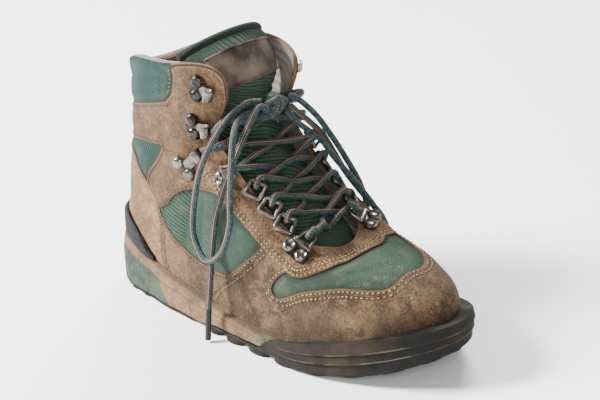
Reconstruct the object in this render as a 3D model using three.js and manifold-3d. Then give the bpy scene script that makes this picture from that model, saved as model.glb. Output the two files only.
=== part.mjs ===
import * as THREE from 'three';
import { mergeVertices } from 'three/addons/utils/BufferGeometryUtils.js';
import Module from 'manifold-3d';

// A mid-height walking boot for the right foot, standing on its sole.
// Millimetres. +X is the toe, +Y the inner (medial) side, +Z up, ground at z = 0.

// Driving dimensions
const soleLength = 292;
const ballWidth = 106;
const heelWidth = 78;
const toeSpring = 18;
const heelBevel = 4;
const collarBackHeight = 157;
const collarFrontHeight = 185;
const throatBaseHeight = 68;

const gap = 0.3;
const featherInset = 6.5;
const midsoleTaper = 2.6;
const ledgeWidth = 9.6;
const bumperStart = 26;
const innerToeDip = 4;
const wallThickness = 2.4;
const collarPadding = 5.5;
const eyestayPadding = 0.8;
const lugHeight = 4;
const plateThickness = 2.5;
const bumperThickness = 3.2;
const insoleThickness = 4;
const cupThickness = 3.6;
const laceDiameter = 4.6;
const rivetRadius = 4.2;
const rivetHeight = 2.1;
const rivetSpacing = 10.5;
const plateGauge = 1;
const hookWidth = 8;
const hookReach = 9;
const lowHookReach = 19;
const hookCurl = 3.4;
const wireRadius = 1.1;
const loopWidth = 11.5;
const loopReach = 10;
const ringWidth = 12;
const ringReach = 9;

// Tread: blocks along the edge counted in stations, cross bars as [x, half width, length, sweep]
const padDepth = 60;
const padBase = -5;
const edgeBlockFill = 0.74;
const edgeBlockReach = 19;
const edgeBlockSlant = 0.12;
const heelBlockFill = 0.78;
const heelBlockReach = 22;
const centreBarMiddle = 3;
const edgeBlockCount = 17;
const firstEdgeBlock = 6.9;
const edgeBlockPitch = 0.79;
const heelBlockCount = 4;
const heelBlockStart = 0.12;
const heelBlockPitch = 0.75;
const waistStart = -62;
const waistEnd = -14;
const waistClearance = 1.6;
const centreBars = [
  [-118, 10, 9, 3], [-102, 12, 9, 3], [-86, 12, 9, 3],
  [4, 14, 9, 5], [22, 22, 10, 5], [40, 26, 10, 5], [58, 27, 10, 5], [76, 26, 10, 5], [94, 20, 10, 4],
];

// Side outline of the heel cup above the midsole, from its front tip to behind the heel
const cupFront = -92;
const cupOutline = [[-96, 34], [-103, 41.5], [-112, 48], [-122, 52.5], [-135, 55.5], [-160, 57]];

// Tongue from its toe end upward: [x, z, half width, droop of the edges, thickness]
const tongueRows = [
  [60, 61, 20, 8, 3], [50, 66, 24, 10, 4], [40, 73, 30, 13, 4], [26, 84, 34, 15, 4.5],
  [9, 97, 34.5, 16, 5], [-8, 114, 34, 16, 5], [-20, 134, 32.5, 17, 6], [-21, 150, 32.5, 16, 7],
  [-21, 166, 36, 14, 8], [-32, 183, 38, 12, 8], [-46, 195, 38, 11, 6],
];
const tongueShift = 2;

// Lace hardware from the toe up: [piece, seat u, v, heading u, v] for each side, and for
// the laced hooks the station where the lace crosses the edge of the flap
const hardware = {
  outer: [
    ['ring_toe', 10.8, 0.79, 11.35, 1],
    ['loop_lower', 10.35, 0.92, 10.35, 1],
    ['loop_middle', 9.65, 0.94, 9.65, 1],
    ['loop_upper', 8.93, 0.95, 8.93, 1],
    ['ring_ankle', 7.75, 0.8, 8.2, 1],
    ['hook_low', 4.5, 0.54, 5.6, 0.65, 7.5],
    ['hook_middle', 4.45, 0.73, 5.8, 0.82, 6.4],
    ['hook_top', 4.25, 0.9, 5.1, 0.925],
  ],
  inner: [
    ['ring_toe', 15.5, 0.88, 15.7, 1],
    ['loop_lower', 16.6, 0.92, 16.6, 1],
    ['loop_middle', 17.3, 0.94, 17.3, 1],
    ['loop_upper', 18.02, 0.95, 18.02, 1],
    ['ring_ankle', 19.25, 0.8, 18.8, 1],
    ['hook_low', 22.5, 0.54, 21.4, 0.65, 19.5],
    ['hook_middle', 22.55, 0.73, 21.2, 0.82, 20.6],
    ['hook_top', 22.75, 0.9, 21.9, 0.925],
  ],
};

// Laces: how high the two strands of a crossing pass over the tongue, and the bow
const lowLift = 3.4;
const highLift = 7.2;
const strandClearance = 2;
const knotCentre = new THREE.Vector3(-5, 4, 151);
const knotSize = new THREE.Vector3(7, 9, 7);
const knotFoot = new THREE.Vector3(-9, 4, 141);
const tipDiameter = 4;

// Centre lines of the hanging loops and ends, as [x, y, z]
const outerLoop = [
  [-6, -8, 155], [-9, -17, 156], [-8, -34, 152], [-9, -48, 141], [-15, -54, 125],
  [-22, -55, 106], [-29, -54, 81], [-27, -55, 67], [-16, -57, 57], [-1, -57, 66], [7, -55, 86],
  [7, -53, 102], [8, -51, 124], [3, -42, 144], [-5, -27, 150], [-7, -11, 149.5],
];
const innerLoop = [
  [-2, 16, 153], [1, 22, 148], [4, 33, 135], [10, 40, 120], [17, 46, 103], [22, 52, 86],
  [23, 57, 70], [22, 59, 56], [28, 60, 45], [36, 60, 43], [40, 59, 52], [37, 56, 64],
  [31, 52, 73], [26, 48, 82], [18, 44, 94], [11, 40, 109], [6, 36, 121], [2, 29, 131],
  [0, 21, 139.5], [-1, 15, 146],
];
const outerEnd = [
  [-1, -8, 152], [-1, -14, 154], [2, -24, 150], [5, -36, 140], [3, -41, 130], [-4, -44, 113],
  [-14, -46, 88], [-16, -49, 70], [-16, -54, 45], [-15, -59, 23],
];
const innerEnd = [
  [-5, 15, 142.5], [-3, 19, 135], [2, 26, 126.5], [10, 31, 119], [16, 35, 108], [25, 38.5, 97],
  [33, 43, 85], [39, 48.5, 72], [44, 51.5, 58], [47, 51.5, 45], [50, 54, 32], [50.5, 57, 22],
];
const outerTip = [[-15, -59.1, 22.4], [-14, -60.8, 4]];
const innerTip = [[50.6, 57.1, 21.4], [52, 59.8, 3.5]];

const half = soleLength / 2;
const ball = ballWidth / 2;
const heel = heelWidth / 2;

// Stations run once round the foot: heel, outer side, toe, inner side.
// edge: sole outline [x, y]; top: collar or throat edge [x, y, z];
// rise and flare: how the wall leaves the sole; drop and reach: how it meets the top edge.
const stations = [
  { edge: [-half, 0], top: [-125, 0, collarBackHeight], rise: 34, flare: 1, drop: 50, reach: 1 },
  { edge: [-137, -heel + 12], top: [-111, -27, 168], rise: 34, flare: 0, drop: 58, reach: 0 },
  { edge: [-113, -heel - 0.3], top: [-83, -42.5, 177], rise: 38, flare: 2, drop: 58, reach: -1 },
  { edge: [-93, -heel - 0.8], top: [-54, -46, 180.5], rise: 45, flare: 5, drop: 50, reach: 0 },
  {
    edge: [-76, -heel - 1], top: [-29, -43, collarFrontHeight],
    rise: 48, flare: 6, drop: 50, reach: 2, lean: -8,
  },
  { edge: [-60, -heel - 1.5], top: [-12, -36, 179], rise: 48, flare: 6, drop: 46, reach: 4, lean: -24 },
  { edge: [-44, -heel - 3], top: [-13, -32, 157], rise: 46, flare: 5, drop: 30, reach: 8, lean: -30 },
  { edge: [-24, -ball + 8], top: [-23, -32, 136], rise: 42, flare: 4, drop: 24, reach: 12, lean: -10 },
  { edge: [1, -ball + 4.6], top: [-10, -32, 118], rise: 36, flare: 3, drop: 14, reach: 14, lean: -4 },
  { edge: [31, -ball + 1.2], top: [8, -31, 101], rise: 30, flare: 2.5, drop: 10, reach: 15 },
  { edge: [63, -ball + 0.4], top: [25, -29.5, 88], rise: 24, flare: 2.5, drop: 6, reach: 17 },
  { edge: [96, -ball + 6.6], top: [41, -25.5, 77], rise: 20, flare: 2.5, drop: 4, reach: 18 },
  { edge: [125, -ball + 21], top: [52, -15, 70.5], rise: 22, flare: 4, drop: 1, reach: 26 },
  { edge: [half - 2.5, -6], top: [56.5, -3, throatBaseHeight], rise: 27, flare: 6, drop: -2, reach: 34 },
  { edge: [half - 3, 15], top: [56, 7, throatBaseHeight], rise: 27, flare: 8, drop: -2, reach: 34 },
  { edge: [130, ball - 19], top: [51, 18, 71], rise: 25, flare: 8, drop: 1, reach: 28 },
  { edge: [104, ball - 5.2], top: [41, 27, 77], rise: 23, flare: 3.5, drop: 3, reach: 20 },
  { edge: [73, ball - 0.6], top: [25, 31, 88], rise: 26, flare: 2.5, drop: 5, reach: 18 },
  { edge: [41, ball - 2], top: [8, 32.5, 101], rise: 32, flare: 2.5, drop: 9, reach: 16 },
  { edge: [11, ball - 10], top: [-9, 33, 118], rise: 38, flare: 3, drop: 14, reach: 14, lean: -4 },
  { edge: [-17, ball - 16.6], top: [-20, 33, 136], rise: 44, flare: 5, drop: 24, reach: 12, lean: -10 },
  { edge: [-40, heel - 3.3], top: [-14, 33.5, 155], rise: 46, flare: 6, drop: 30, reach: 8, lean: -28 },
  { edge: [-58, heel - 2.4], top: [-16, 38, 171], rise: 48, flare: 6, drop: 42, reach: 4, lean: -22 },
  { edge: [-75, heel - 1.3], top: [-35, 43.5, 177.5], rise: 48, flare: 6, drop: 48, reach: 2, lean: -8 },
  { edge: [-93, heel - 0.5], top: [-58, 45.5, 176.5], rise: 45, flare: 5, drop: 50, reach: 0 },
  { edge: [-113, heel - 0.6], top: [-84, 41.5, 170], rise: 38, flare: 2, drop: 56, reach: -1 },
  { edge: [-137, heel - 12], top: [-111, 27, 161], rise: 34, flare: 0, drop: 56, reach: 0 },
];
const stationCount = stations.length;
const stepsPerStation = 2;
const columns = stationCount * stepsPerStation;

// Closed smooth curve through points at whole-number parameters.
function closedCurve(points) {
  const count = points.length;
  const size = points[0].length;
  const bend = points.map(() => new Array(size).fill(0));
  for (let pass = 0; pass < 40; pass += 1) {
    for (let i = 0; i < count; i += 1) {
      const before = (i + count - 1) % count;
      const after = (i + 1) % count;
      for (let k = 0; k < size; k += 1) {
        const second = points[before][k] - 2 * points[i][k] + points[after][k];
        bend[i][k] = (6 * second - bend[before][k] - bend[after][k]) / 4;
      }
    }
  }
  return (u) => {
    const wrapped = ((u % count) + count) % count;
    const i = Math.floor(wrapped) % count;
    const j = (i + 1) % count;
    const t = wrapped - Math.floor(wrapped);
    const s = 1 - t;
    return points[i].map((value, k) => s * value + t * points[j][k]
      + ((s * s * s - s) * bend[i][k] + (t * t * t - t) * bend[j][k]) / 6);
  };
}

// Straight-line interpolation in a short list of [x, value] pairs.
function profile(pairs) {
  return (x) => {
    if (x <= pairs[0][0]) return pairs[0][1];
    for (let i = 1; i < pairs.length; i += 1) {
      if (x <= pairs[i][0]) {
        const [x0, v0] = pairs[i - 1];
        const [x1, v1] = pairs[i];
        return v0 + (v1 - v0) * (x - x0) / (x1 - x0);
      }
    }
    return pairs[pairs.length - 1][1];
  };
}

const smooth = (low, high, x) => THREE.MathUtils.smoothstep(x, low, high);

const edgeCurve = closedCurve(stations.map((s) => s.edge));
const topCurve = closedCurve(stations.map((s) => s.top));
const shapeCurve = closedCurve(stations.map((s) => [s.rise, s.flare, s.drop, s.reach, s.lean ?? 0]));

// Height of the lowest rubber above the ground: flat, with heel bevel and toe spring.
function groundLine(x) {
  const spring = toeSpring * Math.max(0, (x - 50) / (half - 50)) ** 2;
  const bevel = heelBevel * Math.max(0, (-120 - x) / (half - 120)) ** 2;
  return spring + bevel;
}

// Top of the midsole where the upper stands on it.
const midsoleTop = profile([
  [-146, 38], [-130, 36.5], [-112, 33], [-98, 29], [-84, 26], [-62, 22.5], [-40, 20.5],
  [-8, 17.5], [24, 14], [48, 14], [70, 16.5], [93, 20.5], [112, 25.5], [128, 30.5], [146, 37],
]);

// Floor of the midsole under the insole.
const midsoleFloor = profile([
  [-146, 27], [-84, 24], [-40, 18.5], [-8, 15.5], [24, 12], [48, 12], [70, 14.5], [93, 18.5],
  [112, 23.5], [128, 28.5], [146, 35],
]);

// Top of the toe bumper, which is one piece with the outsole.
const bumperTop = profile([
  [bumperStart, 0], [30, 8.5], [38, 11.5], [48, 16], [70, 22], [93, 27.5], [112, 33], [128, 37],
  [146, 39.5],
]);

const plateTop = (x) => groundLine(x) + lugHeight + plateThickness;

function outwardAt(curve, u) {
  const before = curve(u - 0.05);
  const after = curve(u + 0.05);
  const along = new THREE.Vector2(after[0] - before[0], after[1] - before[1]).normalize();
  return new THREE.Vector2(along.y, -along.x);
}

// Sole outline moved inward by a distance.
function outlinePoint(u, inset) {
  const [x, y] = edgeCurve(u);
  const out = outwardAt(edgeCurve, u);
  return new THREE.Vector2(x - out.x * inset, y - out.y * inset);
}

// Outer face of the upper: u round the foot in stations, v from sole (0) to top edge (1).
function upperPoint(u, v) {
  const foot = outlinePoint(u, featherInset);
  const start = new THREE.Vector3(foot.x, foot.y, midsoleTop(foot.x) + gap);
  const end = new THREE.Vector3(...topCurve(u));
  const [rise, flare, drop, reach, lean] = shapeCurve(u);
  const footOut = outwardAt(edgeCurve, u);
  const low = start.clone().add(new THREE.Vector3(footOut.x * flare, footOut.y * flare, rise));
  const high = end.clone().add(new THREE.Vector3(footOut.x * reach + lean, footOut.y * reach, -drop));
  return new THREE.CubicBezierCurve3(start, low, high, end).getPoint(v);
}

function upperNormal(u, v) {
  const du = upperPoint(u + 0.04, v).sub(upperPoint(u - 0.04, v));
  const lower = Math.max(0, v - 0.01);
  const upper = Math.min(1, v + 0.01);
  const dv = upperPoint(u, upper).sub(upperPoint(u, lower));
  return du.cross(dv).normalize();
}

function upperOffset(u, v, distance) {
  return upperPoint(u, v).addScaledVector(upperNormal(u, v), distance);
}

// 1 along the collar, 0 along the throat.
function collarShare(u) {
  const fromHeel = Math.min(u, stationCount - u);
  return 1 - smooth(2.4, 4.2, fromHeel);
}

function wallAt(u, v) {
  const padded = collarPadding * collarShare(u) * smooth(0.5, 0.9, v);
  const banded = eyestayPadding * (1 - collarShare(u)) * smooth(0.6, 0.9, v);
  return wallThickness + padded + banded;
}

function geometryFrom(points, triangles) {
  const geometry = new THREE.BufferGeometry();
  const flat = points.flatMap((p) => [p.x, p.y, p.z]);
  let volume = 0;
  for (const [a, b, c] of triangles) {
    volume += points[a].dot(points[b].clone().cross(points[c]));
  }
  const outward = volume > 0 ? triangles : triangles.map(([a, b, c]) => [a, c, b]);
  geometry.setAttribute('position', new THREE.Float32BufferAttribute(flat, 3));
  geometry.setIndex(outward.flat());
  return geometry;
}

// Body from closed rings of points: its ends are joined to each other, or each is capped
// by stitching the outer side to the inner side.
function ringBody(rings, joined) {
  const count = rings[0].length;
  const points = rings.flat();
  const triangles = [];
  const bands = joined ? rings.length : rings.length - 1;
  for (let r = 0; r < bands; r += 1) {
    const lower = r * count;
    const upper = ((r + 1) % rings.length) * count;
    for (let i = 0; i < count; i += 1) {
      const j = (i + 1) % count;
      triangles.push([lower + i, lower + j, upper + j], [lower + i, upper + j, upper + i]);
    }
  }
  if (!joined) {
    const last = (rings.length - 1) * count;
    for (let i = 0; i < count / 2; i += 1) {
      const across = (count - i) % count;
      const next = count - i - 1;
      if (next > i + 1) {
        triangles.push([i, next, i + 1], [last + i, last + i + 1, last + next]);
      }
      if (across !== i) {
        triangles.push([i, across, next], [last + i, last + next, last + across]);
      }
    }
  }
  return geometryFrom(points, triangles);
}

// Body between two matching grids of points, with walls round the border.
function slab(front, back) {
  const rows = front.length;
  const width = front[0].length;
  const points = [...front.flat(), ...back.flat()];
  const shift = rows * width;
  const triangles = [];
  const quad = (a, b, c, d) => triangles.push([a, b, c], [a, c, d]);
  for (let r = 0; r < rows - 1; r += 1) {
    for (let c = 0; c < width - 1; c += 1) {
      const a = r * width + c;
      quad(a, a + 1, a + width + 1, a + width);
      quad(shift + a, shift + a + width, shift + a + width + 1, shift + a + 1);
    }
    const left = r * width;
    const right = left + width - 1;
    quad(left, left + width, shift + left + width, shift + left);
    quad(right + width, right, shift + right, shift + right + width);
  }
  const top = (rows - 1) * width;
  for (let c = 0; c < width - 1; c += 1) {
    quad(c + 1, c, shift + c, shift + c + 1);
    quad(top + c, top + c + 1, shift + top + c + 1, shift + top + c);
  }
  return geometryFrom(points, triangles);
}

const ring = (make) => Array.from({ length: columns }, (_, i) => make(i / stepsPerStation));
function steps(from, to, count) {
  return Array.from({ length: count + 1 }, (_, i) => from + (to - from) * i / count);
}

function outlineRing(inset, height) {
  return ring((u) => {
    const p = outlinePoint(u, inset);
    return new THREE.Vector3(p.x, p.y, height(p.x, u));
  });
}

// Joining and cutting
const wasm = await Module();
wasm.setup();

function toSolid(source) {
  const geometry = source.clone();
  geometry.deleteAttribute('normal');
  geometry.deleteAttribute('uv');
  const merged = mergeVertices(geometry, 1e-4);
  return new wasm.Manifold(new wasm.Mesh({
    numProp: 3,
    vertProperties: new Float32Array(merged.attributes.position.array),
    triVerts: new Uint32Array(merged.index.array),
  }));
}

function fromSolid(solid) {
  const mesh = solid.getMesh();
  const geometry = new THREE.BufferGeometry();
  geometry.setAttribute('position', new THREE.BufferAttribute(new Float32Array(mesh.vertProperties), 3));
  geometry.setIndex(new THREE.BufferAttribute(new Uint32Array(mesh.triVerts), 1));
  return geometry;
}

// Upright plate cut through the whole width from a side-view outline of [x, z] points.
function sideCutter(outline, width) {
  const shape = new THREE.Shape(outline.map(([x, z]) => new THREE.Vector2(x, z)));
  const geometry = new THREE.ExtrudeGeometry(shape, { depth: width, bevelEnabled: false });
  geometry.rotateX(Math.PI / 2);
  geometry.translate(0, width / 2, 0);
  return geometry;
}

// Pieces
function upper() {
  const levels = [0, 0.08, 0.18, 0.3, 0.42, 0.54, 0.66, 0.78, 0.88, 0.95, 1];
  const outer = levels.map((v) => ring((u) => upperPoint(u, v)));
  const rim = ring((u) => {
    const wall = wallAt(u, 1);
    return upperOffset(u, 1, -wall / 2).add(new THREE.Vector3(0, 0, wall * 0.4));
  });
  const inner = levels.map((v) => ring((u) => upperOffset(u, v, -wallAt(u, v))));
  inner[0].forEach((p, i) => {
    p.z = Math.max(midsoleTop(p.x), midsoleTop(outer[0][i].x)) + gap;
  });
  return ringBody([...outer, rim, ...inner.reverse()], true);
}

function outsolePlate() {
  const base = (x) => groundLine(x) + lugHeight;
  const rim = (x, u) => Math.max(plateTop(x), bumperTop(x) - innerToeDip * smooth(14.2, 15.2, u));
  return ringBody([
    outlineRing(1.2, base),
    outlineRing(0, (x) => base(x) + 1.2),
    outlineRing(0, rim),
    outlineRing(bumperThickness, rim),
    outlineRing(bumperThickness + 0.2, plateTop),
  ], false);
}

// Blank between the ground and the plate, which the tread pattern is cut from.
function treadBlank(clearance, depth) {
  return ringBody([
    outlineRing(1, (x) => groundLine(x) + clearance),
    outlineRing(1, (x) => groundLine(x) + depth),
  ], false);
}

function padShape(corners) {
  const shape = new THREE.Shape(corners);
  const geometry = new THREE.ExtrudeGeometry(shape, { depth: padDepth, bevelEnabled: false });
  geometry.translate(0, 0, padBase);
  return geometry;
}

// Tread block along the edge between two stations, reaching inward.
function edgeBlock(from, to, reach, slant) {
  return padShape([
    outlinePoint(from, -2), outlinePoint(to, -2),
    outlinePoint(to + slant, reach), outlinePoint(from + slant, reach),
  ]);
}

function crossBar(x, halfWidth, length, sweep) {
  const y = centreBarMiddle;
  return padShape([
    new THREE.Vector2(x - length / 2, y - halfWidth), new THREE.Vector2(x + length / 2, y - halfWidth),
    new THREE.Vector2(x + length / 2 + sweep, y), new THREE.Vector2(x + length / 2, y + halfWidth),
    new THREE.Vector2(x - length / 2, y + halfWidth), new THREE.Vector2(x - length / 2 + sweep, y),
  ]);
}

function outsole() {
  const blocks = [];
  for (let i = 0; i < edgeBlockCount; i += 1) {
    const from = firstEdgeBlock + i * edgeBlockPitch;
    blocks.push(edgeBlock(from, from + edgeBlockPitch * edgeBlockFill, edgeBlockReach, edgeBlockSlant));
  }
  for (const side of [-1, 1]) {
    for (let i = 0; i < heelBlockCount; i += 1) {
      const from = heelBlockStart + i * heelBlockPitch;
      const to = from + heelBlockPitch * heelBlockFill;
      const [first, last] = side < 0 ? [from, to] : [-to, -from];
      blocks.push(edgeBlock(first, last, heelBlockReach, 0));
    }
  }
  for (const [x, halfWidth, length, sweep] of centreBars) {
    blocks.push(crossBar(x, halfWidth, length, sweep));
  }
  const tread = blocks.map(toSolid).reduce((sum, block) => sum.add(block));
  const waist = toSolid(padShape([
    new THREE.Vector2(waistStart, -60), new THREE.Vector2(waistEnd, -60),
    new THREE.Vector2(waistEnd, 60), new THREE.Vector2(waistStart, 60),
  ]));
  const lugs = toSolid(treadBlank(0, lugHeight + 0.5)).intersect(tread);
  const shank = toSolid(treadBlank(waistClearance, lugHeight + 0.5)).intersect(waist);
  return fromSolid(toSolid(outsolePlate()).add(lugs).add(shank));
}

function midsole() {
  const inset = (x) => 0.4 + (bumperThickness + 0.3) * smooth(bumperStart - 24, bumperStart - 13, x);
  const bottom = (x) => plateTop(x) + gap;
  const shoulder = (x) => Math.max(bottom(x) + 0.6, bumperTop(x) + gap);
  const ledge = (x) => Math.max(midsoleTop(x), bottom(x) + 2);
  const outerInset = (x) => (ledge(x) > shoulder(x) + 5.5 ? 0.4 : inset(x));
  const wrap = (insetOf, height) => ring((u) => {
    const p = outlinePoint(u, insetOf(edgeCurve(u)[0]));
    return new THREE.Vector3(p.x, p.y, height(p.x));
  });
  return ringBody([
    wrap(inset, bottom),
    wrap(inset, (x) => Math.min(shoulder(x), ledge(x) - 0.4)),
    wrap(outerInset, (x) => Math.min(shoulder(x) + 0.2, ledge(x) - 0.2)),
    wrap((x) => Math.max(outerInset(x), midsoleTaper), ledge),
    outlineRing(ledgeWidth, ledge),
    outlineRing(ledgeWidth + 0.5, midsoleFloor),
  ], false);
}

function insole() {
  const inset = ledgeWidth + 0.5 + gap + 0.2;
  return ringBody([
    outlineRing(inset, (x) => midsoleFloor(x) + gap),
    outlineRing(inset, (x) => midsoleFloor(x) + gap + insoleThickness - 1),
    outlineRing(inset + 1.5, (x) => midsoleFloor(x) + gap + insoleThickness),
  ], false);
}

// Heel cup: the space between two larger forms of the upper, trimmed to its side outline.
function heelCup() {
  const form = (distance) => {
    const rings = steps(0, 0.62, 8).map((v) => ring((u) => upperOffset(u, v, distance)));
    const foot = rings[0].map((p) => new THREE.Vector3(p.x, p.y, p.z - 12));
    return ringBody([foot, ...rings], false);
  };
  const lower = steps(-160, cupFront, 12).map((x) => [x, midsoleTop(x) + gap]);
  const outline = [...lower, ...cupOutline];
  const cutter = toSolid(sideCutter(outline, 140));
  return fromSolid(toSolid(form(cupThickness)).subtract(toSolid(form(gap))).intersect(cutter));
}

// Padded tongue, from under the vamp to above the collar.
function tongue() {
  const front = [];
  const back = [];
  for (const t of steps(0, 1, 16)) {
    const centre = tongueSpine.getPoint(t);
    const along = tongueSpine.getTangent(t);
    const inward = new THREE.Vector3(-along.z, 0, along.x).normalize();
    const size = tongueSizes.getPoint(t);
    const face = (offset) => steps(-1, 1, 9).map((s) => {
      const angle = s * tongueSpread;
      const across = (size.x - offset * 0.4) * Math.sin(angle) / Math.sin(tongueSpread);
      return centre.clone().addScaledVector(inward, tongueDepth(size.y, angle) + offset)
        .add(new THREE.Vector3(0, tongueShift * t + across, 0));
    });
    front.push(face(0));
    back.push(face(size.z));
  }
  return slab(front, back);
}

// Frame on the outer face of the upper: x toward the heading, z out of the surface.
function seatFrame(u, v, headingU, headingV) {
  const origin = upperPoint(u, v);
  const normal = upperNormal(u, v);
  const toward = upperPoint(headingU, headingV).sub(origin);
  toward.addScaledVector(normal, -toward.dot(normal)).normalize();
  const along = normal.clone().cross(toward);
  return { u, v, matrix: new THREE.Matrix4().makeBasis(toward, along, normal).setPosition(origin) };
}

// Height above the frame at which a flat patch clears the surface.
function restHeight(frame, low, high, halfWidth) {
  const inverse = frame.matrix.clone().invert();
  let height = 0;
  for (const u of steps(frame.u - 1.5, frame.u + 1.5, 48)) {
    for (const v of steps(Math.max(0, frame.v - 0.24), 1, 40)) {
      const p = upperPoint(u, v).applyMatrix4(inverse);
      if (p.x > low && p.x < high && Math.abs(p.y) < halfWidth && Math.abs(p.z) < 8) {
        height = Math.max(height, p.z);
      }
    }
  }
  return height + gap;
}

// Flat plate with round ends, lengthways along y.
function roundedPlate(spacing, radius, shift) {
  const shape = new THREE.Shape();
  shape.absarc(shift, spacing / 2, radius, 0, Math.PI, false);
  shape.absarc(shift, -spacing / 2, radius, Math.PI, 2 * Math.PI, false);
  return new THREE.ExtrudeGeometry(shape, { depth: plateGauge, bevelEnabled: false, curveSegments: 3 });
}

function rivet(x, y) {
  const dome = new THREE.CylinderGeometry(rivetRadius * 0.5, rivetRadius, rivetHeight + 0.3, 8);
  dome.rotateX(Math.PI / 2);
  dome.translate(x, y, plateGauge - 0.3 + (rivetHeight + 0.3) / 2);
  return dome;
}

// Strip of plate following a centre line of [x, z] points, across a width in y.
function strip(line, width) {
  const side = (sign) => line.map(([x, z], i) => {
    const before = line[Math.max(0, i - 1)];
    const after = line[Math.min(line.length - 1, i + 1)];
    const along = new THREE.Vector2(after[0] - before[0], after[1] - before[1]).normalize();
    return new THREE.Vector2(x - sign * along.y * plateGauge / 2, z + sign * along.x * plateGauge / 2);
  });
  const shape = new THREE.Shape([...side(-1), ...side(1).reverse()]);
  const geometry = new THREE.ExtrudeGeometry(shape, { depth: width, bevelEnabled: false });
  geometry.rotateX(Math.PI / 2);
  geometry.translate(0, width / 2, 0);
  return geometry;
}

// Closed wire frame in the x-y plane, from x = 0 to its reach, with cut corners.
function wireFrame(width, reach, taper) {
  const side = width / 2;
  const cut = 1.8;
  const path = [
    [cut, -side], [reach - cut, -side + taper], [reach, -side + taper + cut],
    [reach, side - taper - cut], [reach - cut, side - taper], [cut, side], [0, side - cut], [0, cut - side],
  ].map(([x, y]) => new THREE.Vector3(x, y, 0));
  const rings = path.map((p, i) => {
    const before = path[(i + path.length - 1) % path.length];
    const after = path[(i + 1) % path.length];
    const along = after.clone().sub(before).normalize();
    const out = new THREE.Vector3(along.y, -along.x, 0);
    return steps(0, 5, 5).map((k) => {
      const angle = k * Math.PI / 3;
      return p.clone().addScaledVector(out, wireRadius * Math.cos(angle))
        .add(new THREE.Vector3(0, 0, wireRadius * Math.sin(angle)));
    });
  });
  return ringBody(rings, true);
}

const join = (pieces) => pieces.map(toSolid).reduce((sum, piece) => sum.add(piece));

// Each piece gives its solid in its own frame and the point where the lace turns.
function hookPiece(reach) {
  const middle = plateGauge / 2;
  const arc = steps(-90, 110, 4).map((degrees) => {
    const angle = THREE.MathUtils.degToRad(degrees);
    return [reach + hookCurl * Math.cos(angle), middle + hookCurl + hookCurl * Math.sin(angle)];
  });
  const solid = join([
    roundedPlate(rivetSpacing, rivetRadius + 0.6, 0),
    rivet(0, rivetSpacing / 2), rivet(0, -rivetSpacing / 2),
    strip([[2, middle], ...arc], hookWidth),
  ]);
  const turn = [reach + hookCurl + plateGauge + laceDiameter / 2, hookCurl + 1];
  return { solid, turn, rest: [-5, reach + 2, 9] };
}

function loopPiece() {
  const solid = toSolid(wireFrame(loopWidth, loopReach, 0).translate(0, 0, wireRadius));
  const turn = [loopReach + wireRadius + gap + laceDiameter / 2, wireRadius];
  return { solid, turn, rest: [-2, loopReach + 2, loopWidth / 2 + 1] };
}

function ringPiece(rivets) {
  const fold = new THREE.CylinderGeometry(1.8, 1.8, ringWidth, 6);
  fold.translate(6, 0, 1.8);
  const frame = wireFrame(ringWidth - 1, ringReach, 1.5);
  frame.rotateY(-0.25);
  frame.translate(6, 0, 1.8);
  const spacing = rivets > 1 ? rivetSpacing : 0;
  const seats = rivets > 1 ? [spacing / 2, -spacing / 2] : [0];
  const solid = join([
    roundedPlate(spacing, rivetRadius + 0.6, 0), strip([[1, 0.5], [6, 0.5]], ringWidth - 2),
    fold, frame, ...seats.map((y) => rivet(0, y)),
  ]);
  const turn = [6 + ringReach + wireRadius + laceDiameter / 2, 1.8 + 0.25 * ringReach];
  return { solid, turn, rest: [-5, 8, 9] };
}

const pieceMakers = {
  ring_toe: () => ringPiece(2),
  ring_ankle: () => ringPiece(1),
  loop_lower: loopPiece,
  loop_middle: loopPiece,
  loop_upper: loopPiece,
  hook_low: () => hookPiece(lowHookReach),
  hook_middle: () => hookPiece(hookReach),
  hook_top: () => hookPiece(hookReach),
};

const flapPoints = [...steps(3.6, 11.4, 60), ...steps(15.6, 23.4, 60)]
  .flatMap((u) => steps(0.62, 1, 12).map((v) => upperPoint(u, v)));

// The point moved away from the ankle until a lace through it clears the flaps.
function clearOfFlaps(point) {
  const sideways = 0.8 * Math.sign(point.y) * smooth(22, 32, Math.abs(point.y));
  const outward = new THREE.Vector3(0.8, sideways, 0.6).normalize();
  const moved = point.clone();
  const clearance = laceDiameter / 2 + strandClearance;
  for (let i = 0; i < 30 && flapPoints.some((p) => p.distanceTo(moved) < clearance); i += 1) {
    moved.addScaledVector(outward, 0.5);
  }
  return moved;
}

function placeHardware(kind, seat) {
  const [u, v, headingU, headingV, edgeU] = seat;
  const frame = seatFrame(u, v, headingU, headingV);
  const { solid, turn, rest } = pieceMakers[kind]();
  const lift = restHeight(frame, ...rest);
  const place = frame.matrix.clone().multiply(new THREE.Matrix4().makeTranslation(0, 0, lift));
  return {
    geometry: fromSolid(solid).applyMatrix4(place),
    turn: clearOfFlaps(new THREE.Vector3(turn[0], 0, turn[1]).applyMatrix4(place)),
    edge: edgeU ? [clearOfFlaps(upperOffset(edgeU, 1, 4).add(new THREE.Vector3(2, 0, 1.5)))] : [],
  };
}

// Round cord along a smooth line of points.
function cord(points, count) {
  const circle = new THREE.Shape();
  circle.absarc(0, 0, laceDiameter / 2, 0, 2 * Math.PI, false);
  const path = new THREE.CatmullRomCurve3(points);
  return new THREE.ExtrudeGeometry(circle, {
    steps: count,
    extrudePath: path,
    curveSegments: 4,
    bevelEnabled: false,
  });
}

const tongueSpine = new THREE.CatmullRomCurve3(tongueRows.map(([x, z]) => new THREE.Vector3(x, 0, z)));
const tongueSizes = new THREE.CatmullRomCurve3(
  tongueRows.map(([, , width, droop, thickness]) => new THREE.Vector3(width, droop, thickness)),
);
const tongueSpread = THREE.MathUtils.degToRad(70);

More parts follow.
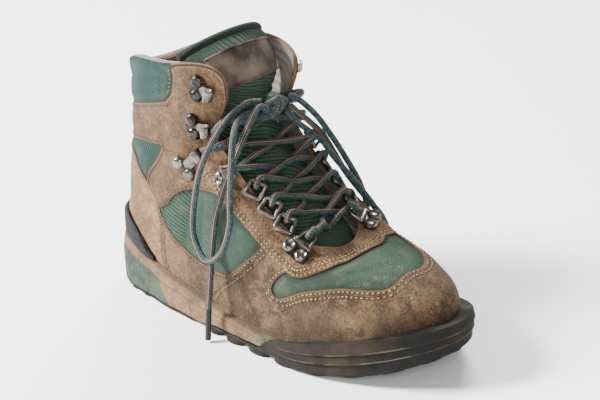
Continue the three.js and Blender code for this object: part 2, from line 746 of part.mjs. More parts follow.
// How far the front of the tongue falls back at an angle round its section.
const tongueDepth = (droop, angle) => droop * (1 - Math.cos(angle)) / (1 - Math.cos(tongueSpread));

// The point moved outward until it stands at least, or just, a lift above the tongue.
function overTongue(point, lift, exactly) {
  let best = 0;
  let distance = Infinity;
  for (const t of steps(0, 1, 200)) {
    const there = tongueSpine.getPoint(t);
    const length = Math.hypot(there.x - point.x, there.z - point.z);
    if (length < distance) {
      distance = length;
      best = t;
    }
  }
  const along = tongueSpine.getTangent(best);
  const outward = new THREE.Vector3(along.z, 0, -along.x).normalize();
  const size = tongueSizes.getPoint(best);
  const sine = Math.min(1, Math.abs(point.y - tongueShift) / size.x) * Math.sin(tongueSpread);
  const base = tongueSpine.getPoint(best).addScaledVector(outward, -tongueDepth(size.y, Math.asin(sine)));
  const height = point.clone().sub(base).dot(outward);
  return point.clone().addScaledVector(outward, exactly ? lift - height : Math.max(0, lift - height));
}

const group = new THREE.Group();

function add(name, geometry, colour, roughness, metalness = 0) {
  const material = new THREE.MeshStandardMaterial({ color: colour, roughness, metalness });
  const mesh = new THREE.Mesh(geometry, material);
  mesh.name = name;
  group.add(mesh);
}

add('outsole', outsole(), 0x1d1c1b, 0.8);
add('midsole', midsole(), 0xa88c68, 0.9);
add('heel_cup', heelCup(), 0x232323, 0.6);
add('upper', upper(), 0x8f7459, 0.95);
add('insole', insole(), 0x4a4038, 0.95);
add('tongue', tongue(), 0x2c5a4c, 0.95);

const turns = { outer: [], inner: [] };
const steel = { ring: 0xb8b8b4, loop: 0x77746c, hook: 0x4d4a46 };
for (const side of ['outer', 'inner']) {
  for (const [kind, ...seat] of hardware[side]) {
    const { geometry, turn, edge } = placeHardware(kind, seat);
    add(`${side}_${kind}`, geometry, steel[kind.split('_')[0]], 0.35, 1);
    turns[side].push({ turn, edge });
  }
}

// Laces: crossed rows up to the middle hooks, then up to the knot.
function strand(from, to, lift) {
  const start = from.edge[0] ?? from.turn;
  const end = to.edge[0] ?? to.turn;
  const middle = [0.25, 0.5, 0.75].map((t) => {
    const point = start.clone().lerp(end, t);
    return overTongue(point, t === 0.5 ? lift : lowLift, t === 0.5);
  });
  const points = [from.turn, ...from.edge, ...middle, ...to.edge, to.turn];
  return cord(points, points.length - 1);
}

function lacing() {
  const { outer, inner } = turns;
  const strands = [strand(outer[0], inner[0], lowLift)];
  for (let row = 0; row < 6; row += 1) {
    strands.push(strand(outer[row], inner[row + 1], lowLift));
    strands.push(strand(inner[row], outer[row + 1], highLift));
  }
  for (const { turn, edge } of [outer[6], inner[6]]) {
    const slope = overTongue(edge[0].clone().lerp(knotFoot, 0.5), lowLift, true);
    strands.push(cord([turn, ...edge, slope, knotFoot], 6));
  }
  return fromSolid(join(strands));
}

function knot() {
  const geometry = new THREE.IcosahedronGeometry(1, 1);
  geometry.scale(knotSize.x, knotSize.y, knotSize.z);
  return geometry.translate(knotCentre.x, knotCentre.y, knotCentre.z);
}

function hanging(path, count) {
  return cord(path.map((p) => new THREE.Vector3(...p)), count);
}

function laceTip(from, to) {
  const start = new THREE.Vector3(...from);
  const along = new THREE.Vector3(...to).sub(start);
  const geometry = new THREE.CylinderGeometry(tipDiameter / 2, tipDiameter / 2, along.length(), 10);
  geometry.translate(0, along.length() / 2, 0);
  geometry.applyQuaternion(new THREE.Quaternion().setFromUnitVectors(
    new THREE.Vector3(0, 1, 0),
    along.clone().normalize(),
  ));
  return geometry.translate(start.x, start.y, start.z);
}

add('lacing', lacing(), 0x2f7d78, 0.9);
add('knot', fromSolid(toSolid(knot())), 0x2f7d78, 0.9);
add('bow_outer', hanging(outerLoop, 23), 0x2f7d78, 0.9);
add('bow_inner', hanging(innerLoop, 23), 0x2f7d78, 0.9);
add('end_outer', hanging(outerEnd, 13), 0x2f7d78, 0.9);
add('end_inner', hanging(innerEnd, 13), 0x2f7d78, 0.9);
add('tip_outer', laceTip(...outerTip), 0x2b2b2b, 0.4);
add('tip_inner', laceTip(...innerTip), 0x2b2b2b, 0.4);

export default group;
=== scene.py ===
import math
import random

import bmesh
import bpy
import numpy as np
from mathutils import Matrix, Vector
from mathutils.geometry import delaunay_2d_cdt
from mathutils.kdtree import KDTree


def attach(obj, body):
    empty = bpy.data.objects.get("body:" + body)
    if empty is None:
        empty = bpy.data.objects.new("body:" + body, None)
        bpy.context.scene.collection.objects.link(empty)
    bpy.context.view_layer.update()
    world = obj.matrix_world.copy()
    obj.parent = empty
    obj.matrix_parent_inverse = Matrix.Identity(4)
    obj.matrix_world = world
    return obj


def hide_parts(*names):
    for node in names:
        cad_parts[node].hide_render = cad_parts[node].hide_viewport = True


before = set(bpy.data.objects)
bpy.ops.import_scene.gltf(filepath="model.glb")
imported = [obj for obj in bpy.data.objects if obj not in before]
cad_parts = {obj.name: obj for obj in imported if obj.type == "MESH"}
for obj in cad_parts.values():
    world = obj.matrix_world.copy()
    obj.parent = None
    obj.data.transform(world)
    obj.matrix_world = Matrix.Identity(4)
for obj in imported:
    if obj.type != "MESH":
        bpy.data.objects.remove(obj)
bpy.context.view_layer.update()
mm = 0.001
fullTurn = 2 * math.pi
dice = random.Random(7)


def say(stage):
    print("boot:", stage)


# camera and light, in millimetres and degrees
cameraSettings = {
    "target": (8.9, 8.2, 83.8), "distance": 1170.5, "azimuth": 45.2, "elevation": 23.4,
    "roll": -3.4, "lens": 106.0,
}


def makeCamera(s):
    turn, rise, roll = (math.radians(s[k]) for k in ("azimuth", "elevation", "roll"))
    back = Vector((math.sin(turn) * math.cos(rise), -math.cos(turn) * math.cos(rise), math.sin(rise)))
    level = Vector((math.cos(turn), math.sin(turn), 0))
    upright = back.cross(level)
    right = level * math.cos(roll) + upright * math.sin(roll)
    up = upright * math.cos(roll) - level * math.sin(roll)
    camera = bpy.data.objects.new("camera", bpy.data.cameras.new("camera"))
    bpy.context.collection.objects.link(camera)
    place = Matrix((right, up, back)).transposed().to_4x4()
    place.translation = (Vector(s["target"]) + back * s["distance"]) * mm
    camera.matrix_world = place
    camera.data.lens = s["lens"]
    camera.data.clip_start = 0.01
    bpy.context.scene.camera = camera


lightSettings = {
    "key": {"at": (-1.4, -1.15, 1.5), "size": 0.65, "power": 300},
    "fill": {"at": (1.6, -1.7, 1.1), "size": 1.4, "power": 50},
    "rear": {"at": (-1.0, 1.8, 1.8), "size": 1.1, "power": 100},
    "world": (0.97, 0.98, 1.0, 1.0), "worldStrength": 0.5,
}


def makeLights(s):
    for name in ("key", "fill", "rear"):
        spec = s[name]
        lamp = bpy.data.objects.new(name, bpy.data.lights.new(name, "AREA"))
        lamp.data.size = spec["size"]
        lamp.data.energy = spec["power"]
        lamp.location = spec["at"]
        aim = Vector((0, 0, 0.08)) - Vector(spec["at"])
        lamp.rotation_euler = aim.to_track_quat("-Z", "Y").to_euler()
        bpy.context.collection.objects.link(lamp)
    world = bpy.data.worlds.new("studio")
    world.use_nodes = True
    world.node_tree.nodes["Background"].inputs["Color"].default_value = s["world"]
    world.node_tree.nodes["Background"].inputs["Strength"].default_value = s["worldStrength"]
    bpy.context.scene.world = world


makeCamera(cameraSettings)
makeLights(lightSettings)
say("camera and lights")


# shader maths as Python expressions
class Wire:
    def __init__(self, finish, socket):
        self.finish, self.socket = finish, socket

    def __add__(self, other):
        return self.finish.math("ADD", self, other)

    def __radd__(self, other):
        return self.finish.math("ADD", self, other)

    def __sub__(self, other):
        return self.finish.math("SUBTRACT", self, other)

    def __rsub__(self, other):
        return self.finish.math("SUBTRACT", other, self)

    def __mul__(self, other):
        return self.finish.math("MULTIPLY", self, other)

    def __rmul__(self, other):
        return self.finish.math("MULTIPLY", self, other)


class Finish:
    def __init__(self, name):
        self.material = bpy.data.materials.new(name)
        self.material.use_nodes = True
        self.tree = self.material.node_tree
        self.tree.nodes.clear()
        output = self.tree.nodes.new("ShaderNodeOutputMaterial")
        self.shader = self.tree.nodes.new("ShaderNodeBsdfPrincipled")
        self.tree.links.new(self.shader.outputs[0], output.inputs[0])
        self.body = None

    def feed(self, socket, value):
        if isinstance(value, Wire):
            self.tree.links.new(value.socket, socket)
        else:
            socket.default_value = value

    def node(self, kind, settings=(), sockets=(), out=0):
        node = self.tree.nodes.new(kind)
        for key, value in dict(settings).items():
            setattr(node, key, value)
        for key, value in dict(sockets).items():
            self.feed(node.inputs[key], value)
        return Wire(self, node.outputs[out])

    def math(self, operation, *values):
        return self.node("ShaderNodeMath", {"operation": operation}, dict(enumerate(values)))

    def place(self):
        if self.body is None:
            self.body = self.node("ShaderNodeTexCoord", out="Object")
        return self.body

    def axis(self, name, vector=None):
        return self.node("ShaderNodeSeparateXYZ", (), {0: vector or self.place()}, out="XYZ".index(name))

    def stretch(self, scale):
        return self.node("ShaderNodeMapping", (), {"Vector": self.place(), "Scale": scale})

    def noise(self, scale, detail=3.0, rough=0.55, vector=None, twist=0.0):
        return self.node("ShaderNodeTexNoise", (), {
            "Vector": vector or self.place(), "Scale": scale, "Detail": detail, "Roughness": rough,
            "Distortion": twist})

    def ramp(self, value, low, high, first=0.0, last=1.0):
        return self.node("ShaderNodeMapRange", {"interpolation_type": "SMOOTHSTEP", "clamp": True}, {
            "Value": value, "From Min": low, "From Max": high, "To Min": first, "To Max": last})

    def mark(self, name):
        return self.node("ShaderNodeAttribute", {"attribute_name": name}, out="Fac")

    def uv(self):
        return self.node("ShaderNodeUVMap", {"uv_map": "UVMap"})

    def wave(self, value):
        # sine of an angle in radians, moved to the range 0 to 1
        return self.math("SINE", value) * 0.5 + 0.5

    def mix(self, first, second, factor):
        # sockets 6 and 7 are the two colours of a Mix node
        return self.node("ShaderNodeMix", {"data_type": "RGBA"}, {0: factor, 6: first, 7: second}, out=2)

    def bump(self, height, strength, distance):
        return self.node("ShaderNodeBump", (), {
            "Height": height, "Strength": strength, "Distance": distance})

    def done(self, **sockets):
        for key, value in sockets.items():
            self.feed(self.shader.inputs[key.replace("_", " ")], value)
        return self.material


def tint(red, green, blue):
    # display values from 0 to 255, made linear
    linear = [((c / 255 + 0.055) / 1.055) ** 2.4 if c > 10 else c / 3294.6 for c in (red, green, blue)]
    return (*linear, 1.0)


def times(colour, factor):
    return tuple(min(1, c * factor) for c in colour[:3]) + (1.0,)


# the shape of the upper, in millimetres
shape = {
    "soleLength": 292, "ballWidth": 106, "heelWidth": 78, "toeSpring": 18, "heelBevel": 4,
    "collarBack": 157, "collarFront": 185, "throatBase": 68, "gap": 0.3, "featherInset": 6.5,
    "wall": 2.4, "collarPadding": 5.5, "eyestayPadding": 0.8,
}
half, ball, heel = shape["soleLength"] / 2, shape["ballWidth"] / 2, shape["heelWidth"] / 2
# sole outline x, y; collar or throat edge x, y, z; rise, flare, drop, reach, lean
stations = [
    (-half, 0, -125, 0, shape["collarBack"], 34, 1, 50, 1, 0),
    (-137, -heel + 12, -111, -27, 168, 34, 0, 58, 0, 0),
    (-113, -heel - 0.8, -83, -42.5, 177, 38, 2, 58, -1, 0),
    (-93, -heel - 4, -54, -46, 180.5, 45, 3, 50, 0, 0),
    (-76, -heel - 7.5, -29, -43, shape["collarFront"], 48, 1, 50, 2, -8),
    (-60, -heel - 9, -12, -36, 179, 48, 0, 46, 4, -24),
    (-44, -heel - 10.8, -13, -32, 157, 46, -1, 30, 8, -30),
    (-24, -ball + 0.6, -23, -32, 136, 42, -2, 24, 12, -10),
    (1, -ball - 2, -10, -32, 118, 36, -2, 14, 14, -4),
    (31, -ball - 3.4, 8, -31, 101, 30, -1, 10, 15, 0),
    (63, -ball - 3, 25, -29.5, 88, 24, 0.5, 6, 17, 0),
    (96, -ball + 4.8, 41, -25.5, 77, 20, 1.5, 4, 18, 0),
    (125, -ball + 21, 52, -15, 70.5, 22, 4, 1, 26, 0),
    (half - 2.5, -6, 56.5, -3, shape["throatBase"], 27, 6, -2, 34, 0),
    (half - 3, 15, 56, 7, shape["throatBase"], 27, 8, -2, 34, 0),
    (130, ball - 19, 51, 18, 71, 25, 8, 1, 28, 0),
    (104, ball - 5.2, 41, 27, 77, 23, 3.5, 3, 20, 0),
    (73, ball - 0.6, 25, 31, 88, 26, 2.5, 5, 18, 0),
    (41, ball - 2, 8, 32.5, 101, 32, 2.5, 9, 16, 0),
    (11, ball - 10, -9, 33, 118, 38, 3, 14, 14, -4),
    (-17, ball - 16.6, -20, 33, 136, 44, 5, 24, 12, -10),
    (-40, heel - 3.3, -14, 33.5, 155, 46, 6, 30, 8, -28),
    (-58, heel - 2.4, -16, 38, 171, 48, 6, 42, 4, -22),
    (-75, heel - 1.3, -35, 43.5, 177.5, 48, 6, 48, 2, -8),
    (-93, heel - 0.5, -58, 45.5, 176.5, 45, 5, 50, 0, 0),
    (-113, heel - 0.6, -84, 41.5, 170, 38, 2, 56, -1, 0),
    (-137, heel - 12, -111, 27, 161, 34, 0, 56, 0, 0),
]
around = len(stations)
acrossScale, upScale = 24.0, 110.0  # about how many millimetres one station and the full height span


def closedCurve(points):
    # smooth closed curve through points that are one unit of u apart
    points = np.array(points, float)
    count = len(points)
    system = np.eye(count) * 4 + np.roll(np.eye(count), 1, 1) + np.roll(np.eye(count), -1, 1)
    second = np.linalg.solve(system, 6 * (np.roll(points, 1, 0) - 2 * points + np.roll(points, -1, 0)))

    def at(u):
        u = np.mod(np.asarray(u, float), count)
        i = np.floor(u).astype(int) % count
        j = (i + 1) % count
        t = (u - np.floor(u))[..., None]
        s = 1 - t
        return s * points[i] + t * points[j] + ((s ** 3 - s) * second[i] + (t ** 3 - t) * second[j]) / 6
    return at


soleCurve = closedCurve([s[0:2] for s in stations])
topCurve = closedCurve([s[2:5] for s in stations])
handleCurve = closedCurve([s[5:10] for s in stations])


def profile(pairs):
    xs, values = zip(*pairs)
    return lambda x: np.interp(x, xs, values)


def smooth(low, high, x):
    t = np.clip((np.asarray(x, float) - low) / (high - low), 0, 1)
    return t * t * (3 - 2 * t)


midsoleTop = profile([
    (-146, 38), (-130, 36.5), (-112, 33), (-98, 29), (-84, 26), (-62, 22.5), (-40, 20.5), (-8, 17.5),
    (24, 14), (48, 14), (70, 16.5), (93, 20.5), (112, 25.5), (128, 30.5), (146, 37)])
midsoleFloor = profile([
    (-146, 27), (-84, 24), (-40, 18.5), (-8, 15.5), (24, 12), (48, 12), (70, 14.5), (93, 18.5),
    (112, 23.5), (128, 28.5), (146, 35)])
bumperStart = 26
bumperTop = profile([
    (bumperStart, 0), (28, 7.2), (32, 9), (36, 14), (40, 16), (48, 18), (70, 22.5), (93, 27.5), (112, 33),
    (128, 37), (146, 39.5)])


def groundLine(x):
    spring = shape["toeSpring"] * np.maximum(0, (x - 50) / (half - 50)) ** 2
    return spring + shape["heelBevel"] * np.maximum(0, (-120 - x) / (half - 120)) ** 2


def outward(u):
    along = soleCurve(np.asarray(u, float) + 0.05) - soleCurve(np.asarray(u, float) - 0.05)
    along /= np.linalg.norm(along, axis=-1, keepdims=True)
    return np.stack([along[..., 1], -along[..., 0]], -1)


def outlineAt(u, inset):
    return soleCurve(u) - outward(u) * np.asarray(inset, float)[..., None]


def upperPoint(u, v):
    # the skin of the upper, with u round it in stations and v from the sole, 0, to the top edge, 1
    u, v = np.broadcast_arrays(np.asarray(u, float), np.asarray(v, float))
    foot = outlineAt(u, np.full(u.shape, shape["featherInset"]))
    out = outward(u)
    rise, flare, drop, reach, lean = np.moveaxis(handleCurve(u), -1, 0)
    start = np.concatenate([foot, (midsoleTop(foot[..., 0]) + shape["gap"])[..., None]], -1)
    end = topCurve(u)
    low = start + np.stack([out[..., 0] * flare, out[..., 1] * flare, rise], -1)
    high = end + np.stack([out[..., 0] * reach + lean, out[..., 1] * reach, -drop], -1)
    t = v[..., None]
    s = 1 - t
    return s ** 3 * start + 3 * s * s * t * low + 3 * s * t * t * high + t ** 3 * end


def upperNormal(u, v):
    u, v = np.broadcast_arrays(np.asarray(u, float), np.asarray(v, float))
    acrossWay = upperPoint(u + 0.04, v) - upperPoint(u - 0.04, v)
    upWay = upperPoint(u, np.minimum(1, v + 0.01)) - upperPoint(u, np.maximum(0, v - 0.01))
    normal = np.cross(acrossWay, upWay)
    return normal / np.linalg.norm(normal, axis=-1, keepdims=True)


def collarShare(u):
    u = np.mod(u, around)
    return 1 - smooth(2.4, 4.2, np.minimum(u, around - u))


def wallAt(u, v):
    padded = shape["collarPadding"] * collarShare(u) * smooth(0.5, 0.9, v)
    return shape["wall"] + padded + shape["eyestayPadding"] * (1 - collarShare(u)) * smooth(0.6, 0.9, v)


# creases and lumps: line of u, v; depth inward; width, in millimetres
creases = [
    ([(8.5, 0.05), (9.0, 0.14), (9.5, 0.2), (10.1, 0.22)], 1.9, 4.5),
    ([(8.75, 0.46), (9.0, 0.34), (9.1, 0.2), (9.5, 0.1)], 1.7, 3.6),
    ([(8.3, 0.28), (8.5, 0.18), (8.7, 0.08)], 1.2, 3.0),
    ([(9.3, 0.27), (9.7, 0.26), (10.2, 0.3), (10.8, 0.37)], 1.0, 3.2),
    ([(9.3, 0.5), (9.15, 0.42), (9.1, 0.32)], -1.0, 4.0),
    ([(10.1, 0.1), (10.8, 0.15), (11.4, 0.13)], 1.0, 4.0),
    ([(9.9, 0.28), (10.7, 0.36), (11.5, 0.38), (12.4, 0.34)], 0.8, 5.0),
    ([(5.2, 0.2), (5.4, 0.32), (5.7, 0.44)], 1.0, 3.5),
    ([(6.4, 0.2), (6.5, 0.34), (6.8, 0.5)], 0.8, 3.0),
    ([(11.6, 0.62), (12.3, 0.66), (13.2, 0.66)], 0.7, 3.0),
    ([(10.6, 0.16), (11.4, 0.24), (12.3, 0.24)], -0.7, 6.0),
    ([(4.6, 0.62), (5.0, 0.52), (5.6, 0.46)], 0.8, 5.0),
    ([(2.6, 0.72), (3.4, 0.7), (4.0, 0.64)], 0.7, 5.0),
    ([(3.5, 0.5), (4.2, 0.47), (5.0, 0.4)], 0.6, 4.0),
    ([(1.6, 0.4), (2.3, 0.34), (2.9, 0.24)], 0.6, 4.5),
    ([(18.2, 0.42), (18.0, 0.3), (17.7, 0.16), (17.9, 0.05)], 1.4, 4.0),
    ([(17.2, 0.4), (16.9, 0.28), (16.4, 0.18)], 1.0, 4.0),
    ([(22.4, 0.62), (22.0, 0.5), (21.4, 0.44)], 0.9, 5.0),
    ([(24.3, 0.7), (23.5, 0.68), (22.9, 0.62)], 0.8, 5.0),
    ([(25.2, 0.36), (24.6, 0.3), (24.1, 0.2)], 0.7, 5.0),
]


def catmull(before, p, q, after, t):
    return 0.5 * (2 * p + (q - before) * t + (2 * before - 5 * p + 4 * q - after) * t ** 2
                  + (3 * p - before - 3 * q + after) * t ** 3)


def smoothLine(points, count, closed=False):
    # a smooth line through the points, with count steps from each to the next
    points = np.array(points, float)
    last = len(points)
    t = np.linspace(0, 1, count, endpoint=False)[:, None]
    line = []
    for i in range(last if closed else last - 1):
        p, q = points[i], points[(i + 1) % last]
        before = points[(i - 1) % last] if closed or i > 0 else 2 * p - q
        after = points[(i + 2) % last] if closed or i + 2 < last else 2 * q - p
        line.append(catmull(before, p, q, after, t))
    return np.concatenate(line + [points[:1] if closed else points[-1:]])


def lengthsAlong(line):
    return np.concatenate([[0], np.cumsum(np.linalg.norm(np.diff(line, axis=0), axis=1))])


def resample(line, length, number):
    at = np.linspace(0, length[-1], number + 1)
    return np.stack([np.interp(at, length, line[:, k]) for k in range(line.shape[1])], -1)


def sampleLine(points, step):
    # smooth line through u, v points, with even steps in millimetres on the surface
    line = smoothLine(points, 24)
    line[:, 1] = np.clip(line[:, 1], 0, 1)
    length = lengthsAlong(upperPoint(line[:, 0], line[:, 1]))
    return resample(line, length, max(3, int(round(length[-1] / step))))


creaseLines = []
for line, depth, width in creases:
    even = sampleLine(line, 2.0)
    creaseLines.append((upperPoint(even[:, 0], even[:, 1]), depth, width))
lumps = [(np.array([dice.gauss(0, 1) for _ in range(3)]), dice.uniform(14, 38), dice.uniform(0, 6.28))
         for _ in range(9)]
lumpHeight = 0.11
deepestDent = 2.1  # less than the wall, so that no dent reaches the lining


def relief(points):
    flat = points.reshape(-1, 3)
    height = np.zeros(len(flat))
    for direction, length, phase in lumps:
        way = direction / np.linalg.norm(direction)
        height += lumpHeight * np.sin(flat @ way * fullTurn / length + phase)
    for line, depth, width in creaseLines:
        low, high = line.min(0) - width * 2.5, line.max(0) + width * 2.5
        near = np.all((flat > low) & (flat < high), axis=1)
        if near.any():
            distance = np.linalg.norm(flat[near][:, None] - line[None], axis=2).min(1)
            height[near] -= depth * np.exp(-(distance / width) ** 2)
    return np.maximum(height, -deepestDent).reshape(points.shape[:-1])


def onUpper(u, v, height):
    points = upperPoint(u, v)
    lift = np.asarray(height, float) + relief(points) * smooth(0.0, 0.12, v)
    return points + upperNormal(u, v) * lift[..., None]


def newPiece(name, bm, material, smoothFaces=True, replaces=(), sharp=None):
    data = bpy.data.meshes.new(name)
    bm.to_mesh(data)
    bm.free()
    piece = bpy.data.objects.new(name, data)
    bpy.context.collection.objects.link(piece)
    for each in material if isinstance(material, (list, tuple)) else [material]:
        data.materials.append(each)
    data.polygons.foreach_set("use_smooth", [smoothFaces] * len(data.polygons))
    if sharp:
        data.set_sharp_from_angle(angle=math.radians(sharp))
    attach(piece, "root")
    if replaces:
        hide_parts(*replaces)
    return piece


def sheetMesh(columns, rows, place, uvSize=(1, 1)):
    # grid over a, b from 0 to 1; place returns positions in millimetres
    bm = bmesh.new()
    uvLayer = bm.loops.layers.uv.new("UVMap")
    bmesh.ops.create_grid(bm, x_segments=columns, y_segments=rows, size=0.5)
    spots = np.array([v.co[:2] for v in bm.verts]) + 0.5
    for face in bm.faces:
        for loop in face.loops:
            loop[uvLayer].uv = ((loop.vert.co.x + 0.5) * uvSize[0], (loop.vert.co.y + 0.5) * uvSize[1])
    points = place(spots[:, 0], spots[:, 1]) * mm
    for vert, point in zip(bm.verts, points):
        vert.co = point
    return bm


def closeSeams(bm):
    bmesh.ops.remove_doubles(bm, verts=bm.verts, dist=1e-6)
    bmesh.ops.dissolve_degenerate(bm, edges=bm.edges, dist=1e-7)
    bmesh.ops.recalc_face_normals(bm, faces=bm.faces)


def sweepTube(path, radius, sides, step, closed=False):
    # tube along a smooth line of points; its UV map has u once round it and v along it in millimetres
    dense = smoothLine(path, 16, closed)
    length = lengthsAlong(dense)
    number = max(4, int(length[-1] / step))
    centre = resample(dense, length, number)
    tangent = np.gradient(centre, axis=0)
    if closed:
        tangent[0] = tangent[-1] = centre[1] - centre[-2]
    tangent /= np.linalg.norm(tangent, axis=1, keepdims=True)
    side = np.cross(tangent[0], [0.31, 0.22, 0.92])
    side /= np.linalg.norm(side)
    sideways = [side]
    for i in range(1, number + 1):
        side = sideways[-1] - tangent[i] * (sideways[-1] @ tangent[i])
        sideways.append(side / np.linalg.norm(side))
    sideways = np.array(sideways)
    other = np.cross(tangent, sideways)
    if closed:  # spread the twist that is left over the whole ring
        twist = math.atan2(sideways[-1] @ other[0], sideways[-1] @ sideways[0])
        turn = -twist * np.linspace(0, 1, number + 1)[:, None]
        sideways, other = (sideways * np.cos(turn) + other * np.sin(turn),
                           other * np.cos(turn) - sideways * np.sin(turn))
    ends = 0 if closed else 3  # rows in the rounded cap at each end
    rows = number + 2 * ends

    def place(a, b):
        row = np.round(b * rows).astype(int)
        angle = a * fullTurn
        spot = np.clip(row - ends, 0, number)
        lead = np.clip(ends - row, 0, ends) / max(1, ends)
        tail = np.clip(row - ends - number, 0, ends) / max(1, ends)
        shrink = np.sqrt(np.maximum(0, 1 - (lead + tail) ** 2))
        push = (tail - lead) * radius * 0.7
        points = centre[spot] + tangent[spot] * push[:, None]
        points = points + sideways[spot] * (np.cos(angle) * radius * shrink)[:, None]
        return points + other[spot] * (np.sin(angle) * radius * shrink)[:, None]

    bm = sheetMesh(sides, rows, place, (1, length[-1]))
    closeSeams(bm)
    return bm, centre


def addTube(bm, tube, scale=1.0):
    # puts a tube into the mesh of a piece that is made of several
    data = bpy.data.meshes.new("tube")
    tube.transform(Matrix.Scale(scale, 4))
    tube.to_mesh(data)
    tube.free()
    bm.from_mesh(data)
    bpy.data.meshes.remove(data)


def seatFrame(u, v, headingU, headingV):
    # place and directions of a fitting on the upper that points toward the heading
    origin = upperPoint(u, v)
    normal = upperNormal(u, v)
    toward = upperPoint(headingU, headingV) - origin
    toward -= normal * (toward @ normal)
    toward /= np.linalg.norm(toward)
    along = np.cross(normal, toward)
    return origin, toward, along, normal


# finishes
def suede(name, colour, shade, dirt, worn=0.5):
    f = Finish(name)
    pale = (*(min(1, c * k) for c, k in zip(colour[:3], (1.42, 1.46, 1.56))), 1.0)
    deep = times(shade, 0.45)
    cloudy = f.noise(42, 5, 0.68)
    broad = f.noise(15, 4, 0.6, twist=0.8)
    grain = f.noise(620, 4, 0.75)
    nap = f.noise(2400, 2, 0.7)
    edge = f.mark("edge")
    row = f.mark("row")
    blotch = f.noise(170, 5, 0.78)
    base = f.mix(colour, shade, f.ramp(cloudy + (broad - 0.5) * 0.6, 0.38, 0.62))
    base = f.mix(base, deep, f.ramp(blotch, 0.5, 0.72, 0, 0.4))
    base = f.mix(base, pale, f.ramp(blotch, 0.48, 0.34, 0, 0.5))
    base = f.mix(base, pale, f.ramp(broad + (cloudy - 0.5) * 0.5, 0.52, 0.72, 0, worn))
    base = f.mix(base, deep, f.ramp(grain, 0.5, 0.64, 0, 0.8))
    base = f.mix(base, pale, f.ramp(grain, 0.48, 0.36, 0, 0.75))
    low = f.ramp(f.axis("Z") + (broad - 0.5) * 0.08, 0.025, 0.08, 1, 0.15)
    low = low * f.ramp(f.axis("X"), 0.1, 0.13, 1, 0.25)
    splash = f.ramp(f.noise(34, 6, 0.66, twist=0.5), 0.44, 0.66)
    base = f.mix(base, tint(34, 23, 14), low * splash * (0.8 * dirt))
    smear = f.ramp(f.noise(21, 4, 0.58, twist=1.6), 0.46, 0.66, 0, 0.95 * dirt)
    base = f.mix(base, tint(48, 35, 23), smear)
    dust = f.ramp(f.noise(130, 5, 0.75), 0.58, 0.74, 0, 0.4)
    base = f.mix(base, tint(170, 150, 122), dust)
    base = f.mix(base, pale, f.ramp(edge, 0.0006, 0.0022, 0.55, 0.0))
    # a dark line just inside each panel's cut edge: painted shadow
    base = f.mix(base, tint(26, 18, 12), f.ramp(edge + (grain - 0.5) * 0.0006, 0.0002, 0.0008, 0.9, 0.0))
    # darker along the stitch grooves: painted shade
    base = f.mix(base, tint(38, 26, 17), row * f.ramp(cloudy, 0.3, 0.6, 0.45, 0.75))
    height = nap * 0.4 + grain + cloudy * 0.8 + blotch * 1.6
    f.shader.inputs["Sheen Weight"].default_value = 0.08
    f.shader.inputs["Sheen Roughness"].default_value = 0.6
    f.shader.inputs["Sheen Tint"].default_value = tint(226, 208, 182)
    f.shader.inputs["Specular IOR Level"].default_value = 0.22
    rough = f.ramp(cloudy, 0.3, 0.7, 0.86, 0.98)
    return f.done(Base_Color=base, Roughness=rough, Normal=f.bump(height, 1.0, 0.0014))


def ribbedCloth(name, colour, shade, pitch, slant, dirt, depth=0.8):
    f = Finish(name)
    across = f.axis("X", f.uv()) * mm
    up = f.axis("Y", f.uv()) * mm
    sway = (f.noise(45, 2) - 0.5) * 0.0012
    turns = fullTurn / pitch / math.hypot(slant, 1)
    rib = f.wave((across * slant + up + sway) * turns)
    weave = f.wave((across - up * slant) * (turns / 0.6))
    cloudy = f.noise(34, 5, 0.66)
    fuzz = f.noise(1300, 3, 0.7)
    base = f.mix(shade, colour, rib * 0.8 + weave * 0.2)
    base = f.mix(base, times(colour, 1.5), f.ramp(cloudy, 0.46, 0.32, 0, 0.3))
    base = f.mix(base, times(shade, 0.5), f.ramp(fuzz, 0.5, 0.72, 0, 0.5))
    base = f.mix(base, tint(116, 106, 76), f.ramp(f.noise(80, 6, 0.74), 0.5, 0.72, 0, 0.75 * dirt))
    base = f.mix(base, tint(62, 50, 32), f.ramp(f.noise(26, 5, 0.7), 0.56, 0.74, 0, 0.6 * dirt))
    # a darker band in the cloth beside the edges of the suede panels: painted shade
    near = f.ramp(f.mark("edge") + (cloudy - 0.5) * 0.003, 0.0004, 0.0034, 0.85, 0.0)
    base = f.mix(base, tint(30, 40, 30), near)
    f.shader.inputs["Specular IOR Level"].default_value = 0.2
    f.shader.inputs["Sheen Weight"].default_value = 0.05
    return f.done(Base_Color=base, Roughness=f.ramp(fuzz, 0.3, 0.7, 0.85, 0.97),
                  Normal=f.bump(rib * depth + weave * 0.25 + fuzz * 0.35, 1.0, 0.0013))


def knit(name, colour, shade):
    f = Finish(name)
    along = f.axis("X", f.uv()) * mm
    up = f.axis("Y", f.uv()) * mm
    rib = f.wave((up + (f.noise(40, 2) - 0.5) * 0.001) * (fullTurn / 0.0026))
    loops = f.wave(along * (fullTurn / 0.0017))
    cloudy = f.noise(45, 4, 0.6)
    base = f.mix(shade, colour, rib * 0.6 + loops * 0.25 + 0.15)
    base = f.mix(base, times(shade, 0.7), f.ramp(cloudy, 0.5, 0.75, 0, 0.6))
    f.shader.inputs["Specular IOR Level"].default_value = 0.15
    f.shader.inputs["Sheen Weight"].default_value = 0.3
    return f.done(Base_Color=base, Roughness=f.ramp(cloudy, 0.3, 0.7, 0.9, 1.0),
                  Normal=f.bump(rib * 0.8 + loops * 0.35 + f.noise(1800, 2) * 0.3, 0.8, 0.0007))


